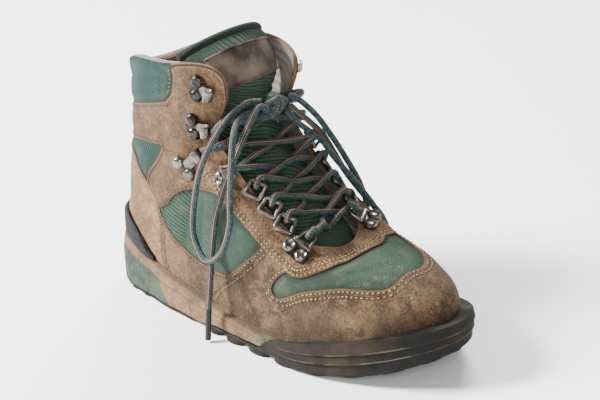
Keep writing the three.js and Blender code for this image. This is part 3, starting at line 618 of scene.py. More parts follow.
def plainCloth(name, colour, shade, pitch=0.0012):
    f = Finish(name)
    x, y, z = (f.axis(n) for n in "XYZ")
    weave = f.math("SINE", (x + y) * (fullTurn / pitch)) * f.math("SINE", (z + y * 0.3) * (fullTurn / pitch))
    cloudy = f.noise(40, 4, 0.6)
    base = f.mix(colour, shade, f.ramp(cloudy + weave * 0.12, 0.3, 0.7))
    f.shader.inputs["Specular IOR Level"].default_value = 0.2
    return f.done(Base_Color=base, Roughness=f.ramp(cloudy, 0.3, 0.7, 0.86, 0.97),
                  Normal=f.bump(weave * 0.5 + f.noise(1400, 2) * 0.5, 0.6, 0.0005))


def steel(name, colour, shade, roughness, worn):
    f = Finish(name)
    cloudy = f.noise(120, 4, 0.6)
    scratches = f.noise(900, 3, 0.6, vector=f.stretch((1, 6, 1)))
    grime = f.ramp(f.noise(150, 3, 0.6), 0.5, 0.68, 0, worn)
    base = f.mix(colour, shade, f.ramp(cloudy, 0.35, 0.7))
    base = f.mix(base, tint(58, 48, 37), grime * 0.8)
    rough = f.ramp(cloudy, 0.3, 0.7, roughness, roughness + 0.15) + grime * 0.3
    return f.done(Base_Color=base, Roughness=rough, Metallic=1.0 - grime * 0.7,
                  Normal=f.bump(scratches, 0.15, 0.0002))


def laceFinish(name):
    f = Finish(name)
    turn = f.axis("X", f.uv())
    along = f.axis("Y", f.uv()) * mm
    lane = f.math("ABSOLUTE", f.math("FRACT", turn * 2.0) - 0.5) * 2.0
    slip = f.math("ABSOLUTE", f.math("FRACT", turn * 12.0) - 0.5) * 0.0012
    braid = f.wave((along + slip) * (fullTurn / 0.0015))
    teal = f.mix(tint(12, 56, 60), tint(60, 112, 114), f.ramp(f.noise(420, 3), 0.4, 0.66))
    base = f.mix(tint(150, 112, 98), tint(10, 11, 11), f.ramp(lane, 0.09, 0.15))
    base = f.mix(base, tint(128, 122, 110), f.ramp(lane, 0.32, 0.36) * f.ramp(braid, 0.3, 0.7, 0.3, 0.9))
    base = f.mix(base, tint(10, 14, 14), f.ramp(lane, 0.46, 0.5))
    base = f.mix(base, teal, f.ramp(lane, 0.56, 0.62) * f.ramp(lane, 0.9, 0.96, 1, 0.15))
    # darker in the valleys between the braid ridges: painted shade
    base = f.mix(base, tint(8, 16, 16), (1.0 - braid) * 0.6)
    base = f.mix(base, tint(82, 68, 50), f.ramp(f.noise(90, 4, 0.7), 0.52, 0.7, 0, 0.5))
    return f.done(Base_Color=base, Roughness=f.ramp(braid, 0, 1, 0.7, 0.9),
                  Normal=f.bump(braid * 0.9 + f.noise(2200, 2) * 0.4, 1.0, 0.0009))


def thread(name, colour):
    f = Finish(name)
    cloudy = f.noise(90, 3)
    base = f.mix(colour, times(colour, 0.45), f.ramp(cloudy, 0.35, 0.68))
    return f.done(Base_Color=base, Roughness=f.ramp(cloudy, 0, 1, 0.7, 0.9))


def rubber(name, colour, dust, roughness, dusty):
    f = Finish(name)
    cloudy = f.noise(30, 5, 0.62)
    grain = f.noise(1100, 3, 0.6)
    specks = f.ramp(f.noise(420, 4, 0.75), 0.55, 0.7)
    base = f.mix(colour, times(colour, 1.6), f.ramp(grain, 0.4, 0.7, 0, 0.5))
    base = f.mix(base, dust, f.ramp(cloudy, 0.42, 0.7) * dusty + specks * (0.35 * dusty))
    # pale line along the lips of the bumper bands: dust and a painted highlight
    dustAndHighlight = f.ramp(f.noise(52, 4, 0.7), 0.42, 0.6, 0.0, 0.75)
    base = f.mix(base, tint(112, 102, 82), f.mark("lip") * dustAndHighlight)
    rough = f.ramp(cloudy, 0.3, 0.7, roughness, 0.95)
    f.shader.inputs["Specular IOR Level"].default_value = 0.16
    return f.done(Base_Color=base, Roughness=rough,
                  Normal=f.bump(grain * 0.6 + specks * 0.5 + cloudy * 2.0, 0.6, 0.0007))


def foam(name):
    f = Finish(name)
    x, z = f.axis("X"), f.axis("Z")
    cloudy = f.noise(38, 6, 0.68)
    specks = f.noise(520, 3, 0.7)
    pits = f.noise(240, 4, 0.7)
    base = f.mix(tint(105, 77, 45), tint(68, 47, 27), f.ramp(cloudy, 0.36, 0.64))
    base = f.mix(base, tint(44, 30, 19), f.ramp(specks, 0.56, 0.66, 0, 0.8))
    base = f.mix(base, tint(150, 124, 90), f.ramp(f.noise(760, 2), 0.6, 0.7, 0, 0.8))
    share = f.mark("share")
    slanted = f.ramp(x + (0.024 - z) * -0.7 + (pits - 0.5) * 0.003, -0.0835, -0.0825, 1, 0)
    heelZone = slanted * f.ramp(share, 0.75, 0.79, 1, 0)
    toeZone = f.ramp(x + (pits - 0.5) * 0.003, 0.0185, 0.0195) * f.ramp(share, 0.05, 0.06)
    green = f.mix(tint(30, 56, 38), tint(12, 26, 17), f.ramp(pits + (cloudy - 0.5) * 0.5, 0.42, 0.62))
    base = f.mix(base, green, heelZone * 0.96)
    olive = f.mix(tint(84, 84, 50), tint(46, 46, 28), f.ramp(pits, 0.4, 0.65))
    base = f.mix(base, olive, toeZone * 0.85)
    # darker towards the top of the wall, under the upper: painted shade
    base = f.mix(base, tint(62, 48, 34), f.ramp(share, 0.7, 0.98) * f.ramp(cloudy, 0.3, 0.6, 0.3, 0.7))
    # dark line in the groove of the wall: painted shade
    base = f.mix(base, tint(34, 24, 16), f.mark("crease") * 0.6)
    grime = f.ramp(f.noise(60, 6, 0.72, twist=0.6), 0.52, 0.66, 0, 0.5)
    base = f.mix(base, tint(54, 38, 25), grime * f.ramp(share, 0.0, 1.0, 0.5, 1.0))
    return f.done(Base_Color=base, Roughness=f.ramp(cloudy, 0.3, 0.7, 0.82, 0.96),
                  Normal=f.bump(specks * 0.6 + pits * 0.8, 0.6, 0.0008))


finishes = {
    "quarter": suede("suede_quarter", tint(106, 78, 51), tint(72, 51, 32), 0.45),
    "counter": suede("suede_counter", tint(126, 97, 67), tint(92, 67, 44), 0.45),
    "lower": suede("suede_lower", tint(108, 81, 54), tint(72, 51, 32), 0.7),
    "wing": suede("suede_wing", tint(92, 69, 44), tint(46, 33, 20), 0.85, 0.9),
    "eyestay": suede("suede_eyestay", tint(104, 78, 52), tint(66, 47, 30), 0.7),
    "rim": suede("suede_rim", tint(108, 80, 54), tint(76, 54, 35), 0.5),
    "patch": ribbedCloth("cloth_heel", tint(7, 58, 50), tint(2, 27, 23), 0.0015, 1.0, 0.3, 0.4),
    "patchSide": ribbedCloth("cloth_side", tint(44, 78, 58), tint(11, 29, 20), 0.0021, 0.06, 0.4),
    "patchToe": ribbedCloth("cloth_toe", tint(54, 84, 58), tint(15, 31, 21), 0.0021, 2.4, 0.6),
    "collar": knit("collar_knit", tint(116, 96, 84), tint(58, 45, 38)),
    "lining": knit("lining_knit", tint(122, 108, 96), tint(62, 52, 44)),
    "tongue": ribbedCloth("tongue_cloth", tint(130, 196, 156), tint(26, 60, 44), 0.0026, 0.5, 0.35),
    "tongueBand": ribbedCloth("tongue_band", tint(34, 106, 90), tint(6, 38, 32), 0.0026, 9.0, 0.1),
    "binding": ribbedCloth("tongue_binding", tint(28, 62, 49), tint(9, 24, 18), 0.0014, 1.0, 0.3, 0.4),
    "label": plainCloth("tongue_label", tint(114, 100, 88), tint(46, 41, 34), 0.0009),
    "piping": plainCloth("label_piping", tint(120, 92, 78), tint(30, 18, 16)),
    "thread": thread("thread_pale", tint(158, 126, 86)),
    "threadDark": thread("thread_brown", tint(104, 80, 54)),
    "darkSteel": steel("dark_steel", tint(66, 62, 57), tint(28, 26, 24), 0.2, 0.35),
    "brightSteel": steel("bright_steel", tint(122, 118, 110), tint(54, 50, 45), 0.24, 0.4),
    "domeSteel": steel("dome_steel", tint(120, 114, 106), tint(64, 60, 54), 0.2, 0.25),
    "greySteel": steel("grey_steel", tint(112, 109, 101), tint(60, 57, 52), 0.32, 0.6),
    "lace": laceFinish("lace_cloth"),
    "tip": rubber("lace_tip", tint(36, 34, 32), tint(80, 72, 58), 0.35, 0.5),
    "rubber": rubber("outsole_rubber", tint(11, 10, 9), tint(58, 49, 36), 0.5, 0.6),
    "cup": rubber("heel_cup_rubber", tint(13, 13, 13), tint(104, 96, 88), 0.5, 0.6),
    "foam": foam("midsole_foam"),
    "insole": plainCloth("insole_cloth", tint(64, 57, 49), tint(40, 35, 30), 0.0018),
}
say("finishes")


# cloth body of the upper: outer skin, rolled rim and lining in one closed sheet
bodySettings = {"columns": 324, "outerRows": 64, "rimRows": 10, "innerRows": 34, "recess": 1.2,
                "rowPitch": 1.9, "collarRows": 3, "heelSide": 3.25, "toeSide": 9.3}


def buildBody(s):
    tree = KDTree(sum(len(edge) for edge in panelEdges))
    for i, point in enumerate(np.concatenate(panelEdges)):
        tree.insert(point, i)
    tree.balance()
    known = {}

    def edgeGap(spot):
        if spot not in known:
            known[spot] = tree.find(upperPoint(*spot))[2]
        return known[spot]

    outerSkin, rolledRim, lining = range(3)
    rows = [(outerSkin, i / s["outerRows"]) for i in range(s["outerRows"] + 1)]
    rows += [(rolledRim, (i + 1) / (s["rimRows"] + 1)) for i in range(s["rimRows"])]
    rows += [(lining, 1 - i / s["innerRows"]) for i in range(s["innerRows"] + 1)]
    rows.append((outerSkin, 0.0))
    kinds, shares = (np.array(column) for column in zip(*rows))
    last = len(rows) - 1

    def place(a, b):
        row = np.clip(np.round(b * last).astype(int), 0, last)
        u = a * around
        kind, share = kinds[row], shares[row]
        v = np.where(kind == rolledRim, 1.0, share)
        wall = wallAt(u, v)
        throat = 1 - collarShare(u)
        gap = np.zeros(len(u))
        for index in np.flatnonzero((kind == outerSkin) & ~coveredBy(u, v)):
            gap[index] = edgeGap(tuple(np.round((u[index] % around, v[index]), 4)))
        top = smooth(0.93, 1.0, v)
        recess = np.where(v > 0.93, -s["recess"], 0.8 * smooth(0.5, 8, gap) - s["recess"])
        outer = onUpper(u, v, recess * (1 - top) - 0.25 * throat * top)
        normal = upperNormal(u, v)
        skin = upperPoint(u, v)
        inner = skin - normal * (wall - np.minimum(0, relief(skin)) * smooth(0.0, 0.12, v))[:, None]
        foot = outlineAt(u, np.full(u.shape, shape["featherInset"]))
        floor = np.maximum(midsoleTop(inner[:, 0]), midsoleTop(foot[:, 0])) + shape["gap"]
        inner[:, 2] = np.where(share == 0, floor, inner[:, 2])
        swell = 0.5 * np.sin(u * 2.1) * np.sin(v * 9) * collarShare(u)
        inner += normal * swell[:, None] * (kind == lining)[:, None]
        angle = share * math.pi
        wobble = 0.35 * np.sin(u * 3.7 + 1) * collarShare(u)
        rim = skin - normal * (wall * (1 - np.cos(angle)) / 2)[:, None]
        rim[:, 2] += (wall * 0.42 + wobble) * np.sin(angle)
        onOuter, onRim = (kind == outerSkin)[:, None], (kind == rolledRim)[:, None]
        return np.where(onOuter, outer, np.where(onRim, rim, inner))

    bm = sheetMesh(s["columns"], last, place, (around * acrossScale, last * s["rowPitch"]))
    uvLayer = bm.loops.layers.uv.active
    collarRow = s["outerRows"] + s["collarRows"]
    # distance to the nearest panel edge, for the painted shade beside the panels
    mark = bm.verts.layers.float.new("edge")
    for vert in bm.verts:
        vert[mark] = max(0.0, tree.find(vert.co / mm)[2] - 0.6) * mm
    for face in bm.faces:
        spots = [loop[uvLayer].uv for loop in face.loops]
        u = sum(p.x for p in spots) / 4 / acrossScale
        row = int(sum(p.y for p in spots) / 4 / s["rowPitch"])
        throat = collarShare(u) < 0.35
        side = min(u, around - u)
        atHeel = side < s["heelSide"]
        if row < s["outerRows"] - 2 or (row < collarRow and atHeel):
            face.material_index = 0 if atHeel else 4 if side < s["toeSide"] else 5
        elif row < collarRow:
            face.material_index = 2
        elif row < s["outerRows"] + s["rimRows"] + (0 if throat else 5):
            face.material_index = 2 if throat else 1
        else:
            face.material_index = 3
    closeSeams(bm)
    worn = [finishes[k] for k in ("patch", "collar", "rim", "lining", "patchSide", "patchToe")]
    newPiece("boot_body", bm, worn, replaces=["upper"])


def acrossStep(line, closed):
    # change of u, v that moves one millimetre to the left of a line on the surface
    u, v = line.T
    high, low = np.minimum(1, v + 0.01), np.maximum(0, v - 0.01)
    alongU = (upperPoint(u + 0.02, v) - upperPoint(u - 0.02, v)) / 0.04
    alongV = (upperPoint(u, high) - upperPoint(u, low)) / (high - low)[:, None]
    solid = upperPoint(u, v)
    if closed:
        way = np.roll(solid, -1, 0) - np.roll(solid, 1, 0)
    else:
        way = np.gradient(solid, axis=0)
    across = np.cross(upperNormal(u, v), way)
    across /= np.linalg.norm(across, axis=1, keepdims=True)
    e, f, g = (np.sum(p * q, 1) for p, q in ((alongU, alongU), (alongU, alongV), (alongV, alongV)))
    p, q = np.sum(alongU * across, 1), np.sum(alongV * across, 1)
    share = e * g - f * f
    return np.stack([(p * g - q * f) / share, (q * e - p * f) / share], -1)


def joinLines(lines, step):
    # one closed outline from lines that follow each other, turned anticlockwise
    edge = np.concatenate([sampleLine(line, step)[:-1] for line in lines])
    area = np.sum(edge[:, 0] * np.roll(edge[:, 1], -1) - np.roll(edge[:, 0], -1) * edge[:, 1])
    return edge if area > 0 else edge[::-1]


def inside(points, polygon):
    x, y = points.T
    hit = np.zeros(len(points), bool)
    for (x0, y0), (x1, y1) in zip(polygon, np.roll(polygon, -1, 0)):
        if y0 != y1:
            hit ^= ((y0 > y) != (y1 > y)) & (x < (x1 - x0) * (y - y0) / (y1 - y0) + x0)
    return hit


def edgeDistance(points, edge, closed=True):
    way = (np.roll(edge, -1, 0) if closed else np.concatenate([edge[1:], edge[-1:]])) - edge
    batch = 1500  # points at a time, to keep the arrays small
    result = np.empty(len(points))
    for low in range(0, len(points), batch):
        part = points[low:low + batch, None]
        t = np.clip(np.sum((part - edge) * way, 2) / np.maximum(1e-9, np.sum(way * way, 1)), 0, 1)
        result[low:low + batch] = np.linalg.norm(part - edge - t[..., None] * way, axis=2).min(1)
    return result


def insideLoops(points, loops):
    # within the first loop and outside the others, which are holes
    hit = inside(points, loops[0])
    for loop in loops[1:]:
        hit &= ~inside(points, loop)
    return hit


panelEdges = []
panelLoops = []


def coveredBy(u, v):
    hidden = np.zeros(len(u), bool)
    for loops in panelLoops:
        for turn in (0, -around):
            hidden |= insideLoops(np.stack([u + turn, v], -1), loops)
    return hidden


panelSettings = {
    "step": 1.2, "spacing": 2.0, "thick": 0.9, "roll": 1.0, "turnIn": 0.5, "groove": 0.3,
    "grooveWidth": 0.9, "edgeRows": (0.3, 0.75, 1.4, 2.4, 3.5), "fieldMargin": 4.2,
}


def panelPoints(s, loops, edges):
    # points inside the panel: rows that follow its edge, then an even field
    outline = loops[0]
    candidates = []
    for loop in loops:
        across = acrossStep(loop, True)
        candidates += [(loop + across * distance, distance * 0.8) for distance in s["edgeRows"]]
    low, high = np.min(outline, 0), np.max(outline, 0)
    columns = np.arange(low[0] * acrossScale, high[0] * acrossScale, s["spacing"])
    rows = np.arange(low[1] * upScale, high[1] * upScale, s["spacing"] * 0.866)
    gridX, gridY = np.meshgrid(columns, rows)
    gridX = gridX + (np.arange(len(rows)) % 2)[:, None] * s["spacing"] / 2
    field = np.stack([gridX.ravel() / acrossScale, gridY.ravel() / upScale], -1)
    candidates.append((field, s["fieldMargin"]))
    kept = []
    for points, least in candidates:
        points = points[(points[:, 1] > 0.001) & (points[:, 1] < 0.999)]
        points = points[insideLoops(points, loops)]
        if len(points):
            gap = np.min([edgeDistance(upperPoint(*points.T), edge) for edge in edges], 0)
            kept.append(points[gap >= least])
    return kept


def turnDown(bm, uv, points, depth):
    # the cut edge of a panel, carried down into the cloth below
    border = [e for e in bm.edges if e.is_boundary]
    turned = bmesh.ops.extrude_edge_only(bm, edges=border)
    lower = [g for g in turned["geom"] if isinstance(g, bmesh.types.BMVert)]
    tree = KDTree(len(points))
    for i, point in enumerate(points):
        tree.insert(point, i)
    tree.balance()
    nearest = [tree.find(v.co)[1] for v in lower]
    for vert, normal in zip(lower, upperNormal(*uv[nearest].T)):
        vert.co -= Vector(normal) * depth * mm


def buildPanel(s, name, lines, material, lift, holes, grooves):
    loops = [joinLines(lines, s["step"])] + [joinLines(hole, s["step"])[::-1] for hole in holes]
    edges = [upperPoint(*loop.T) for loop in loops]
    panelEdges.extend(edges)
    panelLoops.append(loops)
    scale = np.array([acrossScale, upScale])
    flat = [Vector(p) for p in np.concatenate(loops + panelPoints(s, loops, edges)) * scale]
    constraints, start = [], 0
    for loop in loops:
        count = len(loop)
        constraints += [(start + i, start + (i + 1) % count) for i in range(count)]
        start += count
    spots, _, faces, _, _, _ = delaunay_2d_cdt(flat, constraints, [], 0, 1e-4)
    uv = np.array([tuple(p) for p in spots]) / scale
    uv[:, 1] = np.clip(uv[:, 1], 0, 1)
    good = insideLoops(np.array([uv[list(face)].mean(0) for face in faces]), loops)
    base = upperPoint(*uv.T)
    distance = np.min([edgeDistance(base, edge) for edge in edges], 0)
    distance = np.where(uv[:, 1] > 0.97, np.maximum(distance, s["roll"] * 0.75), distance)
    rolled = np.clip(distance / s["roll"], 0, 1)
    height = lift - s["thick"] * (1 - np.sqrt(1 - (1 - rolled) ** 2))
    rowMark = np.zeros(len(base))
    for line in grooves:
        gap = edgeDistance(base, upperPoint(*line.T), closed=False)
        near = np.exp(-(gap / s["grooveWidth"]) ** 2)
        height -= s["groove"] * near
        rowMark = np.maximum(rowMark, near)
    points = onUpper(*uv.T, height) * mm
    bm = bmesh.new()
    # distance to the panel's edge, for its pale cut edge and the painted shadow line along it
    mark = bm.verts.layers.float.new("edge")
    # nearness to a stitch groove, for the painted shade along it
    row = bm.verts.layers.float.new("row")
    uvLayer = bm.loops.layers.uv.new("UVMap")
    verts = []
    for point, gap, near in zip(points, distance, rowMark):
        vert = bm.verts.new(point)
        vert[mark] = gap * mm
        vert[row] = near
        verts.append(vert)
    for face in (f for f, keep in zip(faces, good) if keep):
        made = bm.faces.new([verts[i] for i in face])
        for loop, i in zip(made.loops, face):
            loop[uvLayer].uv = uv[i] * scale
    bmesh.ops.delete(bm, geom=[v for v in bm.verts if not v.link_faces], context="VERTS")
    turnDown(bm, uv, points, s["thick"] + s["turnIn"])
    bmesh.ops.recalc_face_normals(bm, faces=bm.faces)
    newPiece(name, bm, material)


def offsetLine(line, distance, step=1.5):
    even = sampleLine(line, step)
    return even + acrossStep(even, False) * distance


# outlines and seams as u, v points, with u round the upper from the heel and v up from the sole
collarFrontOuter = [(3.28, 1.0), (3.28, 0.933), (3.21, 0.871), (3.02, 0.837)]
collarFrontInner = [(-3.3, 1.0), (-3.3, 0.933), (-3.22, 0.871), (-3.02, 0.837)]
collarUnder = [(3.02, 0.837), (2.5, 0.829), (1.53, 0.82), (0.5, 0.816), (-0.5, 0.816), (-1.53, 0.82),
               (-2.5, 0.829), (-3.02, 0.837)]
heelPatchTop = [(0.35, 0.622), (0.8, 0.642), (1.43, 0.645), (2.13, 0.638), (2.63, 0.627), (2.9, 0.624)]
heelPatchFront = [(2.97, 0.622), (3.01, 0.606), (2.77, 0.543), (2.52, 0.493), (2.43, 0.43)]
counterFrontLine = [(2.44, 0.434), (2.51, 0.419), (3.02, 0.348), (3.3, 0.301)]
counterSeam = [(3.3, 0.301), (3.51, 0.237), (3.59, 0.144), (3.68, 0.05), (3.9, 0.0)]
patchTop = [(3.3, 0.301), (3.63, 0.328), (3.79, 0.341), (3.94, 0.372), (4.17, 0.398), (4.62, 0.427),
            (5.85, 0.484), (6.95, 0.601), (7.43, 0.655)]
patchUnder = [(3.3, 0.301), (3.45, 0.267), (3.78, 0.232), (4.45, 0.196), (5.15, 0.174), (6.18, 0.164),
              (6.81, 0.182), (7.26, 0.192), (7.7, 0.225), (8.1, 0.27)]
wingRear = [(9.26, 0.598), (8.34, 0.363), (7.86, 0.253), (7.44, 0.176), (7.0, 0.091), (6.69, 0.023),
            (6.68, 0.0)]
toeBandLeft = [(10.3, 0.6), (10.23, 0.559), (9.8, 0.477), (9.46, 0.392), (9.35, 0.34)]
toeBandUnder = [(9.35, 0.34), (9.42, 0.312), (9.7, 0.335), (10.06, 0.389), (10.39, 0.438), (10.81, 0.485),
                (11.31, 0.522), (11.72, 0.535), (12.01, 0.512), (12.27, 0.485), (12.57, 0.472),
                (12.83, 0.49), (13.13, 0.531), (13.39, 0.541), (13.68, 0.527), (14.1, 0.528),
                (14.6, 0.55), (15.0, 0.62), (15.3, 0.7)]
eyestayOuter = [(6.81, 0.684), (7.27, 0.688), (7.58, 0.667), (8.03, 0.659), (8.37, 0.657), (8.81, 0.645),
                (9.28, 0.616), (9.63, 0.596), (9.91, 0.571), (10.16, 0.546), (10.31, 0.533),
                (10.62, 0.556), (11.12, 0.627), (11.75, 0.712), (12.32, 0.782), (13.34, 0.849),
                (14.0, 0.825), (14.42, 0.808), (14.78, 0.8), (15.1, 0.75), (15.6, 0.66), (16.1, 0.585),
                (16.5, 0.56), (16.9, 0.6), (17.4, 0.63), (18.0, 0.65), (18.7, 0.66), (19.3, 0.68),
                (19.9, 0.69)]
innerPatchTop = [(-3.55, 0.34), (-4.2, 0.42), (-5.0, 0.48), (-6.2, 0.54), (-7.2, 0.61), (-7.7, 0.64)]
innerWing = [(17.35, 0.6), (18.1, 0.42), (18.6, 0.3), (19.1, 0.17), (19.6, 0.06), (19.7, 0.0)]

# the part of each side that carries the hooks, joined behind the heel
quarterLines = [
    [(7.6, 1.0), (7.55, 0.87), (7.46, 0.76), (7.43, 0.655)],
    patchTop[::-1],
    [(3.3, 0.301), (3.02, 0.32), (2.6, 0.37), (2.43, 0.43)],
    heelPatchFront[::-1],
    heelPatchTop[::-1],
    [(0.35, 0.622), (0.2, 0.6), (-0.2, 0.6), (-0.8, 0.58), (-1.6, 0.5), (-2.4, 0.42), (-3.0, 0.37),
     (-3.55, 0.34)],
    innerPatchTop,
    [(-7.7, 0.64), (-7.66, 0.8), (-7.7, 1.0)],
    [(-7.7, 1.0), (-6.9, 1.0), (-5.8, 1.0), (-4.6, 1.0), (-3.3, 1.0)],
    collarFrontInner,
    collarUnder[::-1],
    collarFrontOuter[::-1],
    [(3.28, 1.0), (4.4, 1.0), (5.4, 1.0), (6.4, 1.0), (7.6, 1.0)],
]
innerLens = [[(-1.5, 0.62), (-1.75, 0.69), (-2.6, 0.725), (-3.8, 0.74), (-5.2, 0.76)],
             [(-5.2, 0.76), (-4.4, 0.66), (-3.4, 0.58), (-2.3, 0.54), (-1.6, 0.56), (-1.5, 0.62)]]
counterLines = [
    [(0.0, 0.64), (0.5, 0.635), (1.0, 0.61), (1.55, 0.565), (1.78, 0.515), (2.05, 0.48), (2.37, 0.443)],
    [(2.37, 0.443)] + counterFrontLine[1:],
    counterSeam,
    [(3.9, 0.0), (2.6, 0.0), (1.3, 0.0), (0.0, 0.0), (-1.3, 0.0), (-2.6, 0.0), (-3.9, 0.0)],
    [(-3.9, 0.0), (-3.78, 0.12), (-3.66, 0.26), (-3.5, 0.4), (-3.3, 0.43)],
    [(-3.3, 0.43), (-2.9, 0.45), (-2.2, 0.49), (-1.6, 0.54), (-1.0, 0.61), (-0.5, 0.635), (0.0, 0.64)],
]
lowerOuterLines = [
    patchUnder,
    [(8.1, 0.27), (8.0, 0.16), (7.5, 0.06), (7.3, 0.0)],
    [(7.3, 0.0), (6.0, 0.0), (5.0, 0.0), (3.6, 0.0)],
    [(3.6, 0.0), (3.4, 0.1), (3.2, 0.22), (3.3, 0.301)],
]
lowerInnerLines = [
    [(-3.4, 0.3), (-3.8, 0.24), (-4.5, 0.21), (-5.4, 0.19), (-6.3, 0.19), (-7.2, 0.22), (-8.3, 0.3)],
    [(-8.3, 0.3), (-8.0, 0.16), (-7.6, 0.06), (-7.2, 0.0)],
    [(-7.2, 0.0), (-6.0, 0.0), (-5.0, 0.0), (-3.5, 0.0)],
    [(-3.5, 0.0), (-3.3, 0.15), (-3.4, 0.3)],
]
wingLines = [
    wingRear,
    [(6.68, 0.0), (8.5, 0.0), (10.5, 0.0), (12.5, 0.0), (14.5, 0.0), (16.5, 0.0), (18.5, 0.0), (19.7, 0.0)],
    innerWing[::-1],
    [(17.35, 0.6), (17.0, 0.66), (16.4, 0.68), (15.8, 0.72), (15.3, 0.7)],
    toeBandUnder[::-1],
    toeBandLeft[::-1],
    [(10.3, 0.6), (10.0, 0.63), (9.6, 0.66), (9.4, 0.65), (9.26, 0.598)],
]
eyestayLines = [
    eyestayOuter,
    [(19.9, 0.69), (19.6, 0.8), (19.35, 0.9), (19.3, 1.0)],
    [(19.3, 1.0), (18.0, 1.0), (17.0, 1.0), (16.0, 1.0), (15.0, 1.0), (14.0, 1.0), (13.0, 1.0),
     (12.0, 1.0), (11.0, 1.0), (10.0, 1.0), (9.0, 1.0), (8.0, 1.0), (7.55, 1.0)],
    [(7.55, 1.0), (7.5, 0.9), (7.2, 0.8), (6.9, 0.73), (6.81, 0.684)],
]
tabLines = [
    [(6.7, 0.609), (6.58, 0.644), (6.72, 0.69), (7.03, 0.746), (7.58, 0.846), (7.93, 0.894)],
    [(7.93, 0.894), (8.2, 0.87), (8.1, 0.76), (7.9, 0.67)],
    [(7.9, 0.67), (7.5, 0.655), (7.2, 0.63), (6.9, 0.598), (6.7, 0.609)],
]

# rows of stitches: line, distances to its left in millimetres, thread
stitchRows = [
    (collarFrontOuter, (-2.2,), "threadDark"),
    (collarFrontInner, (2.2,), "threadDark"),
    (collarUnder, (2.2,), "threadDark"),
    (heelPatchTop, (2.0,), "threadDark"),
    (heelPatchFront, (2.0,), "threadDark"),
    (counterLines[0], (-2.0,), "threadDark"),
    (counterSeam, (-1.6, 2.6), "threadDark"),
    (counterLines[5], (-2.0,), "threadDark"),
    (counterLines[4], (-2.0, -4.5), "threadDark"),
    (patchTop, (2.0,), "threadDark"),
    (patchUnder, (-2.0,), "threadDark"),
    (wingRear[:-1], (2.4, 6.0), "thread"),
    (innerWing[:-1], (-2.4, -6.0), "thread"),
    (toeBandUnder, (-2.4, -5.6), "thread"),
    (toeBandLeft, (-2.2,), "thread"),
    (eyestayOuter, (2.0, 5.2), "thread"),
    (innerPatchTop, (-2.0, -4.6), "threadDark"),
    (lowerInnerLines[0], (2.0, 4.6), "threadDark"),
    (tabLines[0], (-1.8,), "threadDark"),
    (innerLens[0], (2.0,), "threadDark"),
    (innerLens[1], (2.0,), "threadDark"),
    ([(8.6, 0.87), (9.44, 0.85), (9.94, 0.83), (10.6, 0.78)], (0,), "threadDark"),
    ([(11.4, 0.74), (12.15, 0.835), (12.98, 0.91), (14.0, 0.9), (14.6, 0.87)], (0,), "thread"),
]

panelGrooves = [offsetLine(line, d) for line, distances, _ in stitchRows for d in distances]
# name, outline, finish, lift in millimetres, holes
panels = [
    ("panel_lower_outer", lowerOuterLines, "lower", -0.5, ()),
    ("panel_lower_inner", lowerInnerLines, "lower", -0.5, ()),
    ("panel_quarter", quarterLines, "quarter", -0.35, (innerLens,)),
    ("panel_tab", tabLines, "quarter", -0.05, ()),
    ("panel_counter", counterLines, "counter", -0.05, ()),
    ("panel_wing", wingLines, "wing", -0.1, ()),
    ("panel_eyestay", eyestayLines, "eyestay", 0.1, ()),
]
for name, lines, finish, lift, holes in panels:
    buildPanel(panelSettings, name, lines, finishes[finish], lift, holes, panelGrooves)
say("panels")
buildBody(bodySettings)
say("cloth body")


stitchSettings = {"pitch": 3.2, "length": 2.2, "thick": 0.52, "height": -0.07, "eyestayHeight": 0.1}


def buildStitches(s):
    piles = {"thread": bmesh.new(), "threadDark": bmesh.new()}
    for line, distances, kind in stitchRows:
        for distance in distances:
            row = offsetLine(line, distance, s["pitch"])
            row = row[(row[:, 1] > 0.01) & (row[:, 1] < 0.99)]
            height = s["eyestayHeight"] if line is eyestayOuter else s["height"]
            points = onUpper(row[:, 0], row[:, 1], np.full(len(row), height))
            normals = upperNormal(row[:, 0], row[:, 1])
            ways = np.gradient(points, axis=0)
            for point, normal, way in zip(points, normals, ways):
                way = way / np.linalg.norm(way) + np.array([dice.gauss(0, 0.05) for _ in range(3)])
                across = np.cross(normal, way)
                size = s["length"] * dice.uniform(0.85, 1.1) / 2
                turn = Matrix((Vector(way).normalized() * size, Vector(across).normalized() * s["thick"],
                               Vector(normal) * s["thick"] * 0.8)).transposed().to_4x4()
                turn.translation = point
                bmesh.ops.create_icosphere(piles[kind], subdivisions=1, radius=1.0,
                                           matrix=Matrix.Scale(mm, 4) @ turn)
    for kind, bm in piles.items():
        bmesh.ops.recalc_face_normals(bm, faces=bm.faces)
        newPiece("stitches_" + kind, bm, finishes[kind])


buildStitches(stitchSettings)
say("stitches")


# tongue, from its foot to its top: x, z, half width, curve back at the sides, thickness
tongueRows = [
    (60, 61, 20, 8, 3), (50, 66, 24, 10, 4), (40, 73, 30, 13, 4), (26, 84, 34, 15, 4.5),
    (9, 97, 34.5, 16, 5), (-8, 114, 34, 16, 5), (-20, 134, 32.5, 17, 6), (-21, 150, 32.5, 16, 7),
    (-21, 166, 36, 14, 8), (-32, 183, 38, 12, 8), (-46, 195, 38, 11, 6),
]
tongueSpread = math.radians(70)  # how far each side turns back
tongueShift = 2  # how far the top leans to the inner side


def openCurve(rows):
    # smooth open curve through rows of values, with t from 0 to 1
    rows = np.array(rows, float)

    def at(t):
        t = np.clip(np.asarray(t, float), 0, 1) * (len(rows) - 1)
        i = np.clip(np.floor(t).astype(int), 0, len(rows) - 2)
        w = (t - i)[..., None]
        before = np.where(i[..., None] > 0, rows[np.maximum(i - 1, 0)], 2 * rows[0] - rows[1])
        after = np.where(i[..., None] < len(rows) - 2, rows[np.minimum(i + 2, len(rows) - 1)],
                         2 * rows[-1] - rows[-2])
        return catmull(before, rows[i], rows[i + 1], after, w)
    return at


tongueAt = openCurve(tongueRows)


